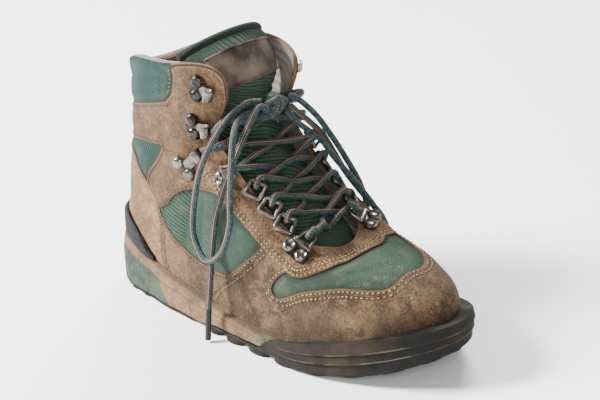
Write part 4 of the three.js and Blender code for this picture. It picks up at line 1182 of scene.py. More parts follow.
def tongueFrame(t):
    row, ahead, behind = tongueAt(t), tongueAt(np.asarray(t) + 0.003), tongueAt(np.asarray(t) - 0.003)
    along = (ahead - behind)[..., :2]
    along /= np.linalg.norm(along, axis=-1, keepdims=True)
    return row, along


def tonguePoint(t, s, depth):
    # s from -1 to 1 across; depth in millimetres back from the front face
    row, along = tongueFrame(t)
    angle = s * tongueSpread
    across = (row[..., 2] - depth * 0.4) * np.sin(angle) / math.sin(tongueSpread)
    fall = row[..., 3] * (1 - np.cos(angle)) / (1 - math.cos(tongueSpread)) + depth
    return np.stack([row[..., 0] - along[..., 1] * fall, tongueShift * t + across,
                     row[..., 1] + along[..., 0] * fall], -1)


def overTongue(point, lift, exactly):
    # moves a point outward to its lift above the tongue, or only where it is lower than that
    point = np.array(point, float)
    at = np.linspace(0, 1, 201)
    rows, alongs = tongueFrame(at)
    best = int(np.argmin(np.hypot(rows[:, 0] - point[0], rows[:, 1] - point[2])))
    row, along = rows[best], alongs[best]
    out = np.array([along[1], 0, -along[0]])
    sine = min(1, abs(point[1] - tongueShift) / row[2]) * math.sin(tongueSpread)
    fall = row[3] * (1 - math.cos(math.asin(sine))) / (1 - math.cos(tongueSpread))
    base = np.array([row[0], 0, row[1]]) - out * fall
    short = lift - (point - base) @ out
    return point + out * (short if exactly else max(0, short))


# shares of the tongue's length, from its foot
tongueSettings = {"around": 150, "along": 220, "labelFrom": 0.79, "labelTo": 0.915, "labelWide": 0.62,
                  "bandFoot": 0.9, "bandTop": 0.968, "bandSeam": 0.705, "quiltPitch": 0.028, "fill": 0.55}


def bell(value, middle, width):
    return np.exp(-((value - middle) / width) ** 2)


def tongueRelief(t, s):
    # outward height in millimetres on the front face
    m = tongueSettings
    folds = 1.26 * np.sin(t * 70 + 2.5 * s * s + 0.8 * np.sin(s * 3 + t * 9))
    folds = folds * smooth(0.16, 0.3, t) * (1 - smooth(0.66, 0.71, t))
    quilt = 0.55 * np.sin((t - 0.72) * fullTurn / m["quiltPitch"])
    quilt = quilt * smooth(0.7, 0.72, t) * (1 - smooth(0.77, 0.78, t))
    seams = -1.3 * (bell(t, m["bandSeam"], 0.006) + bell(t, m["bandTop"], 0.005))
    sides = -bell(np.abs(s), 0.86, 0.035) * smooth(0.6, 0.7, t)
    swell = 1.4 * (1 - s * s) * smooth(0.7, 0.76, t) * (1 - smooth(0.9, 0.955, t))
    swell = swell + 1.2 * smooth(0.971, 0.983, t)
    dents = -1.2 * bell(t, 0.8, 0.03) * bell(s, -0.45, 0.2) - 0.9 * bell(t, 0.88, 0.02) * bell(s, 0.5, 0.25)
    return folds + quilt + seams + sides + swell + dents


def buildTongue(s):
    wide, tall = 260, 215  # length round it and along it

    def place(a, b):
        turn = a * fullTurn
        flat = np.sign(np.cos(turn)) * np.abs(np.cos(turn)) ** 0.8
        bulge = np.sign(np.sin(turn)) * np.abs(np.sin(turn)) ** 0.55
        thickness = tongueFrame(b)[0][:, 4]
        end = np.clip(np.minimum(b, 1 - b) / 0.022, 0, 1)
        full = np.sqrt(1 - (1 - end) ** 2)
        depth = thickness / 2 - bulge * thickness * (0.15 + 0.85 * full) / 2
        lift = tongueRelief(b, flat) * np.clip(bulge, 0, 1) * full
        ripple = 0.5 * np.sin(b * 24) * np.clip(-bulge, 0, 1) * full
        wave = 1.6 * np.sin(flat * 2.2 + 0.7) * smooth(0.88, 1, b)
        return tonguePoint(b, -flat * (0.94 + 0.06 * full), depth - lift + ripple + wave)

    bm = sheetMesh(s["around"], s["along"], place, (wide, tall))
    uvLayer = bm.loops.layers.uv.active
    for face in bm.faces:
        t = sum(loop[uvLayer].uv.y for loop in face.loops) / 4 / tall
        turn = sum(loop[uvLayer].uv.x for loop in face.loops) / 4 / wide
        atSide = abs(math.cos(turn * fullTurn)) > 0.9 and t > 0.66
        face.material_index = 2 if atSide or t > s["bandTop"] else 1 if t > s["bandFoot"] else 0
    closeSeams(bm)
    cloths = [finishes[k] for k in ("tongue", "tongueBand", "binding")]
    piece = newPiece("boot_tongue", bm, cloths, replaces=["tongue"])


def buildLabel(s):
    # a bare cloth label with a piping along its foot and its top
    low, high, wide = s["labelFrom"], s["labelTo"], s["labelWide"]

    def onTongue(t, across, rise):
        return tonguePoint(t, across, -(tongueRelief(t, across) * 0.75 + rise))

    def place(a, b):
        edge = np.minimum(np.minimum(a, 1 - a) * 18, np.minimum(b, 1 - b) * 14)
        rise = 1.1 * np.sqrt(np.clip(edge, 0, 1)) + 0.05
        return onTongue(low + (high - low) * b, (a * 2 - 1) * wide, rise)

    newPiece("tongue_label", sheetMesh(60, 40, place, (40, 24)), finishes["label"])
    for index, t in enumerate((low + 0.004, high - 0.004)):
        line = onTongue(np.full(18, t), np.linspace(-wide, wide, 18), 1.2)
        bm, _ = sweepTube(line, 0.75, 8, 1.0)
        newPiece("label_piping_%d" % index, bm, finishes["piping"])


buildTongue(tongueSettings)
buildLabel(tongueSettings)
say("tongue")


# plates, rivets, hooks, wire loops and rings that carry the lace
metal = {
    "lace": 4.6, "rivet": 4.2, "rivetHeight": 2.1, "spacing": 10.5, "gauge": 1.0, "hookWidth": 8,
    "hookReach": 9, "lowHookReach": 19, "curl": 3.4, "wire": 1.1, "loopWidth": 11.5, "loopReach": 10,
    "ringWidth": 12, "ringReach": 9, "foldAt": 6, "foldRadius": 1.8, "flapGap": 2.0,
}
# kind, seat u and v, the u and v it points to, and where its lace crosses the throat edge
hardware = {
    "outer": [
        ("ring_toe", 10.8, 0.79, 11.35, 1), ("loop_lower", 10.35, 0.92, 10.35, 1),
        ("loop_middle", 9.65, 0.94, 9.65, 1), ("loop_upper", 8.93, 0.95, 8.93, 1),
        ("ring_ankle", 7.75, 0.8, 8.2, 1), ("hook_low", 4.5, 0.54, 5.6, 0.65, 7.5),
        ("hook_middle", 4.45, 0.73, 5.8, 0.82, 6.4), ("hook_top", 4.25, 0.9, 5.1, 0.925),
    ],
    "inner": [
        ("ring_toe", 15.5, 0.88, 15.7, 1), ("loop_lower", 16.6, 0.92, 16.6, 1),
        ("loop_middle", 17.3, 0.94, 17.3, 1), ("loop_upper", 18.02, 0.95, 18.02, 1),
        ("ring_ankle", 19.25, 0.8, 18.8, 1), ("hook_low", 22.5, 0.54, 21.4, 0.65, 19.5),
        ("hook_middle", 22.55, 0.73, 21.2, 0.82, 20.6), ("hook_top", 22.75, 0.9, 21.9, 0.925),
    ],
}


def restHeight(seat, frameOf, low, high, halfWidth):
    # how far a flat fitting has to stand off to clear the curve of the upper under it
    origin, toward, along, normal = frameOf
    us = np.linspace(seat[0] - 1.5, seat[0] + 1.5, 49)
    vs = np.linspace(max(0, seat[1] - 0.24), 1, 41)
    gridU, gridV = np.meshgrid(us, vs)
    local = upperPoint(gridU.ravel(), gridV.ravel()) - origin
    x, y, z = local @ toward, local @ along, local @ normal
    near = (x > low) & (x < high) & (np.abs(y) < halfWidth) & (np.abs(z) < 8)
    return max(0.0, float(z[near].max())) + shape["gap"]


def addPlate(bm, spacing, radius):
    # flat plate with round ends and an eased upper edge
    made = bmesh.ops.create_circle(bm, cap_ends=True, segments=40, radius=radius)
    for vert in made["verts"]:
        vert.co.y += math.copysign(spacing / 2, vert.co.y)
    faces = list({f for v in made["verts"] for f in v.link_faces})
    raised = bmesh.ops.extrude_face_region(bm, geom=faces)
    top = [g for g in raised["geom"] if isinstance(g, bmesh.types.BMFace)]
    bmesh.ops.translate(bm, verts=[g for g in raised["geom"] if isinstance(g, bmesh.types.BMVert)],
                        vec=(0, 0, metal["gauge"]))
    rim = list({e for f in top for e in f.edges})
    bmesh.ops.bevel(bm, geom=rim, offset=0.35, segments=3, profile=0.5, affect="EDGES", material=-1)
    for face in bm.faces:
        face.material_index = 2


rivetShapes = {  # share of the radius, share of the height
    "dome": [(0, 1), (0.3, 0.98), (0.55, 0.9), (0.78, 0.68), (0.93, 0.34), (1, 0)],
    "ring": [(0, 0.62), (0.3, 0.6), (0.5, 0.74), (0.68, 1), (0.86, 0.8), (1, 0)],
}


def addRivet(bm, y, style):
    radius, height = metal["rivet"] * 1.08, metal["rivetHeight"] * 1.2
    before = len(bm.faces)
    verts = [bm.verts.new((across * radius, y, metal["gauge"] - 0.2 + up * height))
             for across, up in rivetShapes[style]]
    edges = [bm.edges.new(pair) for pair in zip(verts, verts[1:])]
    bmesh.ops.spin(bm, geom=verts + edges, cent=(0, y, 0), axis=(0, 0, 1), angle=fullTurn, steps=32,
                   use_merge=True)
    bm.faces.ensure_lookup_table()
    for face in bm.faces[before:]:
        face.material_index = 1


def addStrip(bm, line, width, gauge, waist=0.0):
    # strip of plate along x, z points, made as a bent block with eased edges
    line = np.array(line, float)
    steps = 28
    centre = resample(line, lengthsAlong(line), steps)
    way = np.gradient(centre, axis=0)
    way /= np.linalg.norm(way, axis=1, keepdims=True)
    ring = []
    ease = gauge * 0.3
    for corner, (signY, signH) in enumerate(((1, 1), (-1, 1), (-1, -1), (1, -1))):
        for k in range(4):
            angle = math.radians(90 * corner + 30 * k)
            ring.append((signY * (width / 2 - ease) + ease * math.cos(angle),
                         signH * (gauge / 2 - ease) + ease * math.sin(angle)))
    rows = []
    for i, (point, along) in enumerate(zip(centre, way)):
        ends = min(1.0, min(i, steps - i) / 2 + 0.55)
        narrow = (1 - waist * math.sin(i / steps * math.pi)) * (0.9 + 0.1 * ends)
        rows.append([bm.verts.new((point[0] - along[1] * h * ends, y * narrow,
                                   point[1] + along[0] * h * ends)) for y, h in ring])
    loops = [[bm.edges.new(pair) for pair in zip(row, row[1:] + row[:1])] for row in rows]
    for first, second in zip(loops, loops[1:]):
        bmesh.ops.bridge_loops(bm, edges=first + second)
    bmesh.ops.holes_fill(bm, edges=loops[0] + loops[-1], sides=0)


def addWire(bm, width, reach, taper, place, radius):
    # closed wire with cut corners, narrower by the taper at its far end
    side, cut = width / 2, 1.1
    corners = [(cut, -side), (reach * 0.5, taper * 0.5 - side), (reach - cut, taper - side),
               (reach, taper - side + cut), (reach, 0), (reach, side - taper - cut),
               (reach - cut, side - taper), (reach * 0.5, side - taper * 0.5), (cut, side), (0, side - cut),
               (0, 0), (0, cut - side)]
    path = [tuple(place @ Vector((x, y, 0))) for x, y in corners]
    addTube(bm, sweepTube(path, radius, 16, 0.7, closed=True)[0], 1 / mm)


def hookLine(reach):
    # side view of a hook: a straight leg and a curl of 200 degrees
    middle, curl = metal["gauge"] / 2, metal["curl"]
    angles = [math.radians(-90 + 200 * k / 16) for k in range(17)]
    return [(2, middle), (reach * 0.5, middle), (reach * 0.8, middle)] + [
        (reach + curl * math.cos(angle), middle + curl + curl * math.sin(angle)) for angle in angles]


turns = {"outer": [], "inner": []}  # where the lace turns, filled as the fittings are built
gridU, gridV = np.meshgrid(np.concatenate([np.linspace(3.6, 11.4, 61), np.linspace(15.6, 23.4, 61)]),
                           np.linspace(0.62, 1, 13))
flapPoints = upperPoint(gridU.ravel(), gridV.ravel())


def clearOfFlaps(point):
    # moves a turn of the lace forward, out and up, until it clears the flaps of the upper
    point = np.array(point, float)
    sideways = 0.8 * math.copysign(1, point[1]) * float(smooth(22, 32, abs(point[1])))
    way = np.array([0.8, sideways, 0.6])
    way /= np.linalg.norm(way)
    for _ in range(30):
        if np.linalg.norm(flapPoints - point, axis=1).min() >= metal["lace"] / 2 + metal["flapGap"]:
            break
        point = point + way * 0.5
    return point


def buildHardware(side, kind, *seat):
    frameOf = seatFrame(*seat[:4])
    origin, toward, along, normal = frameOf
    bm = bmesh.new()
    m = metal
    if kind.startswith("hook"):
        reach = m["lowHookReach"] if kind == "hook_low" else m["hookReach"]
        addPlate(bm, m["spacing"] - 0.5, m["rivet"] + 0.7)
        addStrip(bm, hookLine(reach), m["hookWidth"], m["gauge"] * 1.5, 0.16)
        for y in (m["spacing"] / 2, -m["spacing"] / 2):
            addRivet(bm, y, "dome")
        turn = (reach + m["curl"] + m["gauge"] + m["lace"] / 2, 0, m["curl"] + 1)
        rest = (-5, reach + 2, 9)
        finish = ("brightSteel", "domeSteel" if kind == "hook_low" else "darkSteel", "darkSteel")
    elif kind.startswith("loop"):
        lean = Matrix.Rotation(-0.2, 4, "Y") @ Matrix.Translation((0, 0, m["wire"]))
        addWire(bm, m["loopWidth"], m["loopReach"], 0.7, lean, m["wire"] * 1.5)
        turn = (m["loopReach"] + m["wire"] + 0.3 + m["lace"] / 2, 0, m["wire"])
        rest = (-2, m["loopReach"] + 2, m["loopWidth"] / 2 + 1)
        finish = ("greySteel",)
    else:
        spacing = m["spacing"] if kind == "ring_toe" else 0
        foldAt, foldRadius, foldEnd = m["foldAt"], m["foldRadius"], m["ringWidth"] / 2
        addPlate(bm, spacing, m["rivet"] + 0.6)
        addStrip(bm, [(1, 0.5), (3.5, 0.5), (foldAt, 0.6)], m["ringWidth"] - 2, 1.0)
        fold = [(foldAt, y, foldRadius) for y in (-foldEnd, 0, foldEnd)]
        addTube(bm, sweepTube(fold, foldRadius, 20, 1.0)[0], 1 / mm)
        lean = Matrix.Translation((foldAt, 0, foldRadius)) @ Matrix.Rotation(-0.25, 4, "Y")
        addWire(bm, m["ringWidth"] - 1, m["ringReach"], 1.5, lean, m["wire"])
        for y in (spacing / 2, -spacing / 2) if spacing else (0,):
            addRivet(bm, y, "ring")
        turn = (foldAt + m["ringReach"] + m["wire"] + m["lace"] / 2, 0, foldRadius + 0.25 * m["ringReach"])
        rest = (-5, 8, 9)
        finish = ("brightSteel", "domeSteel", "darkSteel")
    lift = restHeight(seat, frameOf, *rest)
    place = Matrix((toward, along, normal)).transposed().to_4x4()
    place.translation = origin + normal * lift
    bmesh.ops.recalc_face_normals(bm, faces=bm.faces)
    bm.transform(Matrix.Scale(mm, 4) @ place)
    newPiece("%s_%s_metal" % (side, kind), bm, [finishes[k] for k in finish],
             replaces=["%s_%s" % (side, kind)], sharp=38)
    point = np.array(place @ Vector(turn))
    edge = None
    if len(seat) > 4:
        edge = clearOfFlaps(upperPoint(seat[4], 1) + upperNormal(seat[4], 1) * 4 + np.array([2, 0, 1.5]))
    turns[side].append({"turn": clearOfFlaps(point), "edge": edge, "place": place, "kind": kind})


for side in ("outer", "inner"):
    for kind, *seat in hardware[side]:
        buildHardware(side, kind, *seat)
say("hardware")


laceSettings = {"lowLift": 3.4, "highLift": 7.2, "waver": (-1.2, 2.6), "sides": 18, "step": 0.9,
                "radius": 2.1, "stops": 7, "knotCentre": (-5, 4, 151), "knotFoot": (-9, 4, 141)}


def turnPoints(stop):
    # the lace goes over the bar from the throat, into the opening and back under the bar
    kind, place = stop["kind"], stop["place"]
    if kind.startswith("loop"):
        local = [(metal["loopReach"] + 2.2, 0, 6.0), (metal["loopReach"] - 3.4, 0, 4.4),
                 (metal["loopReach"] + 0.4, 0, 0.4)]
    elif kind.startswith("ring"):
        reach = metal["foldAt"] + metal["ringReach"]
        local = [(reach + 2.0, 0, 8.4), (reach - 3.4, 0, 6.6), (reach + 0.6, 0, 1.6)]
    else:
        return [stop["turn"]]
    return [np.array(place @ Vector(p)) for p in local]


def crossing(start, end, lift):
    # the lace over the tongue between two turns, a little out of line
    middle = []
    for share in (0.25, 0.5, 0.75):
        atMiddle = share == 0.5
        point = overTongue(start * (1 - share) + end * share, lift if atMiddle else laceSettings["lowLift"],
                           atMiddle)
        middle.append(point + np.array([0.62, 0, -0.78]) * dice.uniform(*laceSettings["waver"]))
    return middle


def laceLine(order, lifts):
    # one run of the lace through its stops, with the lift of each crossing between them
    path = []
    for k, stop in enumerate(order):
        if k:
            before = order[k - 1]
            start = before["edge"] if before["edge"] is not None else before["turn"]
            end = stop["edge"] if stop["edge"] is not None else stop["turn"]
            path += crossing(start, end, lifts[k - 1])
        if stop["edge"] is not None:
            path += [stop["edge"], stop["turn"]]
            if k + 1 < len(order):
                path.append(stop["edge"] + np.array([1.0, 0, 3.2]))
        else:
            path += turnPoints(stop)
    return path


def buildLacing(s):
    # two runs that cross up to the middle hooks, a bar at the foot, and two ends up to the knot
    outer, inner = turns["outer"], turns["inner"]
    low, high = s["lowLift"], s["highLift"]
    left = [outer[k] if k % 2 == 0 else inner[k] for k in range(s["stops"])]
    right = [inner[k] if k % 2 == 0 else outer[k] for k in range(s["stops"])]
    paths = [laceLine(left, [low, high] * 3), laceLine(right, [high, low] * 3)]
    start, end = outer[0]["turn"], inner[0]["turn"]
    paths.append([start] + crossing(start, end, low) + [end])
    foot, centre = np.array(s["knotFoot"], float), np.array(s["knotCentre"], float)
    for stop in (outer[s["stops"] - 1], inner[s["stops"] - 1]):
        slope = overTongue((stop["edge"] + foot) / 2, low, True)
        paths.append([stop["turn"], stop["edge"], slope, foot, centre])
    bm = bmesh.new()
    for path in paths:
        addTube(bm, sweepTube(path, s["radius"], s["sides"], s["step"])[0])
    newPiece("lace_rows", bm, finishes["lace"], replaces=["lacing"])


buildLacing(laceSettings)


def buildKnot(s):
    # three rings round the knot and two strands through it
    centre = np.array(s["knotCentre"], float)
    wraps = []
    for shift, tilt, size in ((-2.4, 0.25, 1.0), (2.3, -0.3, 1.0), (0.2, 0.05, 1.22)):
        ring = []
        for k in range(12):
            angle = k / 12 * fullTurn
            x, z = 4.4 * size * math.cos(angle), 4.6 * size * math.sin(angle)
            ring.append((x, shift + tilt * z, z))
        wraps.append((ring, True))
    wraps.append(([(1, -9, 1), (3, -4, 3), (4, 0, 4), (3.5, 4, 2), (1, 9, -1)], False))
    wraps.append(([(-2, -8, -3), (1, -4, -5), (3, 0, -5.5), (1, 5, -4), (-2, 9, -4)], False))
    bm = bmesh.new()
    for path, closed in wraps:
        addTube(bm, sweepTube(centre + np.array(path), s["radius"], s["sides"], s["step"], closed)[0])
    newPiece("lace_knot", bm, finishes["lace"], replaces=["knot"])


buildKnot(laceSettings)

# centre lines of the two loops of the bow and the two ends, in millimetres
cordLines = {
    "bow_outer": [
        (-6, -8, 155), (-9, -17, 156), (-8, -34, 152), (-9, -48, 141), (-15, -54, 125),
        (-22, -55, 106), (-29, -54, 81), (-27, -55, 67), (-16, -57, 57), (-1, -57, 66), (7, -55, 86),
        (7, -53, 102), (8, -51, 124), (3, -42, 144), (-5, -27, 150), (-7, -11, 149.5)],
    "bow_inner": [
        (-2, 16, 153), (1, 22, 148), (4, 33, 135), (10, 40, 120), (17, 46, 103), (22, 52, 86),
        (23, 57, 70), (22, 59, 56), (28, 60, 45), (36, 60, 43), (40, 59, 52), (37, 56, 64),
        (31, 52, 73), (26, 48, 82), (18, 44, 94), (11, 40, 109), (6, 36, 121), (2, 29, 131),
        (0, 21, 139.5), (-1, 15, 146)],
    "end_outer": [
        (-1, -8, 152), (-1, -14, 154), (2, -24, 150), (5, -36, 140), (3, -41, 130), (-4, -44, 113),
        (-14, -46, 88), (-16, -49, 70), (-16, -54, 45), (-15, -59, 23)],
    "end_inner": [
        (-5, 15, 142.5), (-3, 19, 135), (2, 26, 126.5), (10, 31, 119), (16, 35, 108), (25, 38.5, 97),
        (33, 43, 85), (39, 48.5, 72), (44, 51.5, 58), (47, 51.5, 45), (50, 54, 32), (50.5, 57, 22)],
}
tipLines = {
    "end_outer": ("tip_outer", [(-15, -58.6, 24.5), (-14.3, -60.8, 14), (-13.4, -63.0, 2.6)]),
    "end_inner": ("tip_inner", [(50.5, 56.7, 24), (51.2, 58.4, 13), (52, 59.8, 3.5)]),
}
tipRadius = 2.0


def buildCords(s):
    for name, line in cordLines.items():
        tube, centre = sweepTube(line, s["radius"], s["sides"], s["step"])
        piece = newPiece("lace_" + name, tube, finishes["lace"], replaces=[name])
        path = [tuple(p * mm) for p in centre]
        if name in tipLines:
            tipName, tipLine = tipLines[name]
            tube, _ = sweepTube(tipLine, tipRadius, 20, 1.0)
            tip = newPiece("lace_" + tipName, tube, finishes["tip"], replaces=[tipName])


buildCords(laceSettings)
say("laces")


soleSettings = {
    "columns": 540, "lug": 4.0, "plate": 2.5, "bumper": 3.2, "bumperFold": 2.4, "taper": 2.6, "ledge": 9.6,
    "toeDip": 4, "heelDrop": 3.4, "edgeFall": (-34, -14), "insole": 4,
}


def plateTop(x):
    return groundLine(x) + soleSettings["lug"] + soleSettings["plate"]


def heelFall(x):
    # how far the seam of the midsole and the rubber drops toward the heel
    return soleSettings["heelDrop"] * (1 - smooth(*soleSettings["edgeFall"], x))


def onOutline(u, inset, height):
    u = np.asarray(u, float)
    flat = outlineAt(u, np.broadcast_to(np.asarray(inset, float), u.shape))
    return np.concatenate([flat, np.asarray(height(flat[..., 0]), float)[..., None]], -1)


def finishSweep(bm):
    closeSeams(bm)
    bmesh.ops.holes_fill(bm, edges=[e for e in bm.edges if e.is_boundary], sides=0)
    bmesh.ops.triangulate(bm, faces=[f for f in bm.faces if len(f.verts) > 4])
    bmesh.ops.recalc_face_normals(bm, faces=bm.faces)


def sectionRing(columns, corners, uvWide):
    # ring body with one row of points for each corner; corners(u) gives an array of points for each
    total = len(corners(np.array([0.0]))) - 1

    def place(a, b):
        u = np.round(a * columns) / columns * around
        at = np.clip(b * total, 0, total)
        i = np.minimum(np.floor(at).astype(int), total - 1)
        t = at - i
        stack = np.stack(corners(u))
        index = np.arange(len(u))
        return stack[i, index] * (1 - t)[:, None] + stack[i + 1, index] * t[:, None]
    return sheetMesh(columns, total, place, (uvWide, total))


def shareUp(row, first, low, high, steps):
    # how far up its wall a row of the sweep lies, where the wall's rows run evenly from low to high
    return low + (row - first) / steps * (high - low)


def rounded(points, ease, count=4):
    # corner list with each inner corner replaced by a short arc
    result = [points[0]]
    for before, corner, after in zip(points, points[1:], points[2:]):
        inWay, outWay = before - corner, after - corner
        inLength = np.linalg.norm(inWay, axis=-1, keepdims=True)
        outLength = np.linalg.norm(outWay, axis=-1, keepdims=True)
        reach = np.minimum(ease, np.minimum(inLength, outLength) * 0.45)
        start = corner + inWay / np.maximum(inLength, 1e-6) * reach
        end = corner + outWay / np.maximum(outLength, 1e-6) * reach
        for k in range(count + 1):
            t = k / count
            result.append(start * (1 - t) ** 2 + corner * 2 * t * (1 - t) + end * t * t)
    result.append(points[-1])
    return result


def buildMidsole(s):
    def inset(x):
        ahead = (s["bumper"] + 0.3) * smooth(bumperStart - 24, bumperStart - 13, x)
        return 0.4 + ahead - 0.6 * (1 - smooth(*s["edgeFall"], x))

    def bottom(x):
        return plateTop(x) + shape["gap"] - heelFall(x)

    def shoulder(x):
        return np.maximum(bottom(x) + 0.6, bumperTop(x) + shape["gap"])

    def ledge(x):
        return np.maximum(midsoleTop(x), bottom(x) + 2)

    def wallInset(x):
        return np.where(ledge(x) > shoulder(x) + 5.5, np.minimum(0.4, inset(x)), inset(x))

    foot, top, rows, seam = 0.06, 1.0, 25, 0.68  # shares of the wall's height, and its rows

    def corners(u):
        x = soleCurve(u)[..., 0]
        wall = wallInset(x)
        start = onOutline(u, wall, lambda q: np.minimum(shoulder(q) + 0.2, ledge(q) - 0.2))
        end = onOutline(u, np.maximum(wall, s["taper"]), ledge)
        levels = [
            onOutline(u, inset(x) + 3.5, bottom),
            onOutline(u, inset(x) + 0.5, bottom),
            onOutline(u, inset(x), lambda q: np.minimum(shoulder(q), ledge(q) - 0.4)),
            start,
        ]
        strength = np.clip((end[..., 2] - start[..., 2]) / 12, 0, 1)
        for share in np.linspace(foot, top, rows + 1):
            out = 1.3 * math.sin(min(1, share * 1.25) * math.pi / 2)
            out *= (1 - max(0, share - 0.55) / 0.45) ** 0.7
            groove = -0.45 * math.exp(-((share - seam) / 0.03) ** 2)
            ripple = 0.3 * np.sin(u * 1.9 + 0.6) + 0.2 * np.sin(u * 4.3 + share * 5)
            point = start * (1 - share) + end * share
            swell = (out + groove + ripple * math.sin(share * math.pi)) * strength
            point[..., :2] += outward(u) * swell[:, None]
            levels.append(point)
        levels += rounded([levels[-1], onOutline(u, s["taper"] + 1.4, ledge), onOutline(u, s["ledge"], ledge),
                           onOutline(u, s["ledge"] + 0.5, midsoleFloor)], 0.8)[1:]
        return levels

    bm = sectionRing(s["columns"], corners, around * acrossScale)
    uvLayer = bm.loops.layers.uv.active
    shareMark = bm.verts.layers.float.new("share")
    # nearness to the groove of the wall, for the painted shade in it
    crease = bm.verts.layers.float.new("crease")
    for face in bm.faces:
        for loop in face.loops:
            share = max(0.0, min(1.0, shareUp(loop[uvLayer].uv.y, 4, foot, top, rows)))
            loop.vert[shareMark] = share
            loop.vert[crease] = math.exp(-((share - seam) / 0.035) ** 2)
    finishSweep(bm)
    newPiece("boot_midsole", bm, finishes["foam"], replaces=["midsole"])


buildMidsole(soleSettings)


def buildInsole(s):
    inset = s["ledge"] + 1.0

    def floor(x):
        return midsoleFloor(x) + shape["gap"]

    def top(x):
        return floor(x) + s["insole"]

    def corners(u):
        stops = [onOutline(u, inset, floor), onOutline(u, inset, top), onOutline(u, inset + 4, top)]
        return rounded(stops, 1.2)

    bm = sectionRing(216, corners, 1)
    finishSweep(bm)
    newPiece("boot_insole", bm, finishes["insole"], replaces=["insole"])


buildInsole(soleSettings)


# three bands of the toe bumper, as shares of its height, and the lips between them
bumperBands = ((0.0, 0.36), (0.36, 0.64), (0.64, 1.0))
bumperLips = (0.385, 0.665)


def bandSwell(share):
    for start, end in bumperBands:
        if start <= share < end:
            part = (share - start) / (end - start)
            return 1.7 * (1 - part) ** 0.8 * min(1, part / 0.12) ** 0.5 - 0.3
    return 0.0


def buildOutsole(s):
    def base(x):
        return groundLine(x) + s["lug"]

    def foot(x):
        return groundLine(x) + 0.5 + 3.2 * smooth(-46, -38, x) * (1 - smooth(40, 58, x))

    bottom, top, rows = 0.03, 0.97, 39  # shares of the wall's height, and its rows

    def corners(u):
        x = soleCurve(u)[..., 0]
        dip = s["toeDip"] * smooth(14.2, 15.2, u)

        def rim(q):
            return np.maximum(plateTop(q), bumperTop(q) - dip) - heelFall(q)

        low, high = onOutline(u, 0, lambda q: foot(q) + 1.0), onOutline(u, 0, rim)
        levels = [onOutline(u, 4.4, base), onOutline(u, 3.6, foot), onOutline(u, 1.0, foot), low]
        tall = np.clip((high[..., 2] - low[..., 2] - 9) / 12, 0, 1)
        flare = 2.6 * smooth(90, 142, x)
        for share in np.linspace(bottom, top, rows + 1):
            swell = (bandSwell(share) + 0.7 * math.sin(share * math.pi)) * tall + flare * share ** 0.8
            point = low * (1 - share) + high * share
            point[..., :2] += outward(u) * swell[:, None]
            levels.append(point)
        lifted = high.copy()
        lifted[..., :2] += outward(u) * (flare - 0.1)[:, None]
        fold = s["bumper"] + s["bumperFold"] * smooth(56, 84, x)
        levels += rounded([levels[-1], lifted, onOutline(u, fold, rim),
                           onOutline(u, fold, lambda q: rim(q) - 1.2),
                           onOutline(u, s["bumper"] + 0.2, lambda q: plateTop(q) - heelFall(q))], 1.1)[1:]
        return levels

    bm = sectionRing(648, corners, 1)
    uvLayer = bm.loops.layers.uv.active
    # nearness to the band lips, for the pale line of dust and painted highlight there
    lip = bm.verts.layers.float.new("lip")
    for face in bm.faces:
        for loop in face.loops:
            share = shareUp(loop[uvLayer].uv.y, 4, bottom, top, rows)
            nearLip = max(math.exp(-((share - at) / 0.022) ** 2) for at in bumperLips)
            loop.vert[lip] = nearLip * float(smooth(34, 60, loop.vert.co.x / mm))
    finishSweep(bm)
    newPiece("boot_outsole", bm, finishes["rubber"], replaces=["outsole"])


buildOutsole(soleSettings)


# blocks under the edge are placed in stations round the outline; bars are middle x, half width,
# length and how far their middle points forward
treadSettings = {
    "edge": {"count": 17, "start": 6.9, "pitch": 0.79, "fill": 0.74, "reach": 19, "slant": 0.12},
    "heel": {"count": 4, "start": 0.12, "pitch": 0.75, "fill": 0.78, "reach": 22, "slant": 0},
    "bars": [(-118, 10, 9, 3), (-102, 12, 9, 3), (-86, 12, 9, 3), (4, 14, 9, 5), (22, 22, 10, 5),
             (40, 26, 10, 5), (58, 27, 10, 5), (76, 26, 10, 5), (94, 20, 10, 4)],
    "barMiddle": 3, "waistOuter": (4.95, 6.55), "waistInner": (20.1, 22.2), "waistClearance": 1.6,
    "ease": 0.8,
}


def addLug(bm, corners, clearance=0.0):
    # tread block: a polygon above the ground, pulled up into the plate, with eased lower edges
    lugTop = soleSettings["lug"] + 0.6
    down = [bm.verts.new((x, y, groundLine(x) + clearance)) for x, y in corners]
    face = bm.faces.new(down)
    raised = bmesh.ops.extrude_face_region(bm, geom=[face])
    for vert in raised["geom"]:
        if isinstance(vert, bmesh.types.BMVert):
            vert.co.z = groundLine(vert.co.x) + lugTop
    rim = [e for e in bm.edges if all(v in down for v in e.verts)]
    bmesh.ops.bevel(bm, geom=rim, offset=treadSettings["ease"], segments=3, profile=0.5, affect="EDGES",
                    material=-1)


def edgeLug(bm, start, end, reach, slant):
    # block with a scalloped outer end
    outerLine = [outlineAt(u, 2.2 - 2.4 * math.sin(math.pi * k / 6) ** 0.6)
                 for k, u in enumerate(np.linspace(start, end, 7))]
    innerLine = [outlineAt(u + slant, float(reach)) for u in np.linspace(end, start, 3)]
    addLug(bm, [tuple(p) for p in outerLine + innerLine])


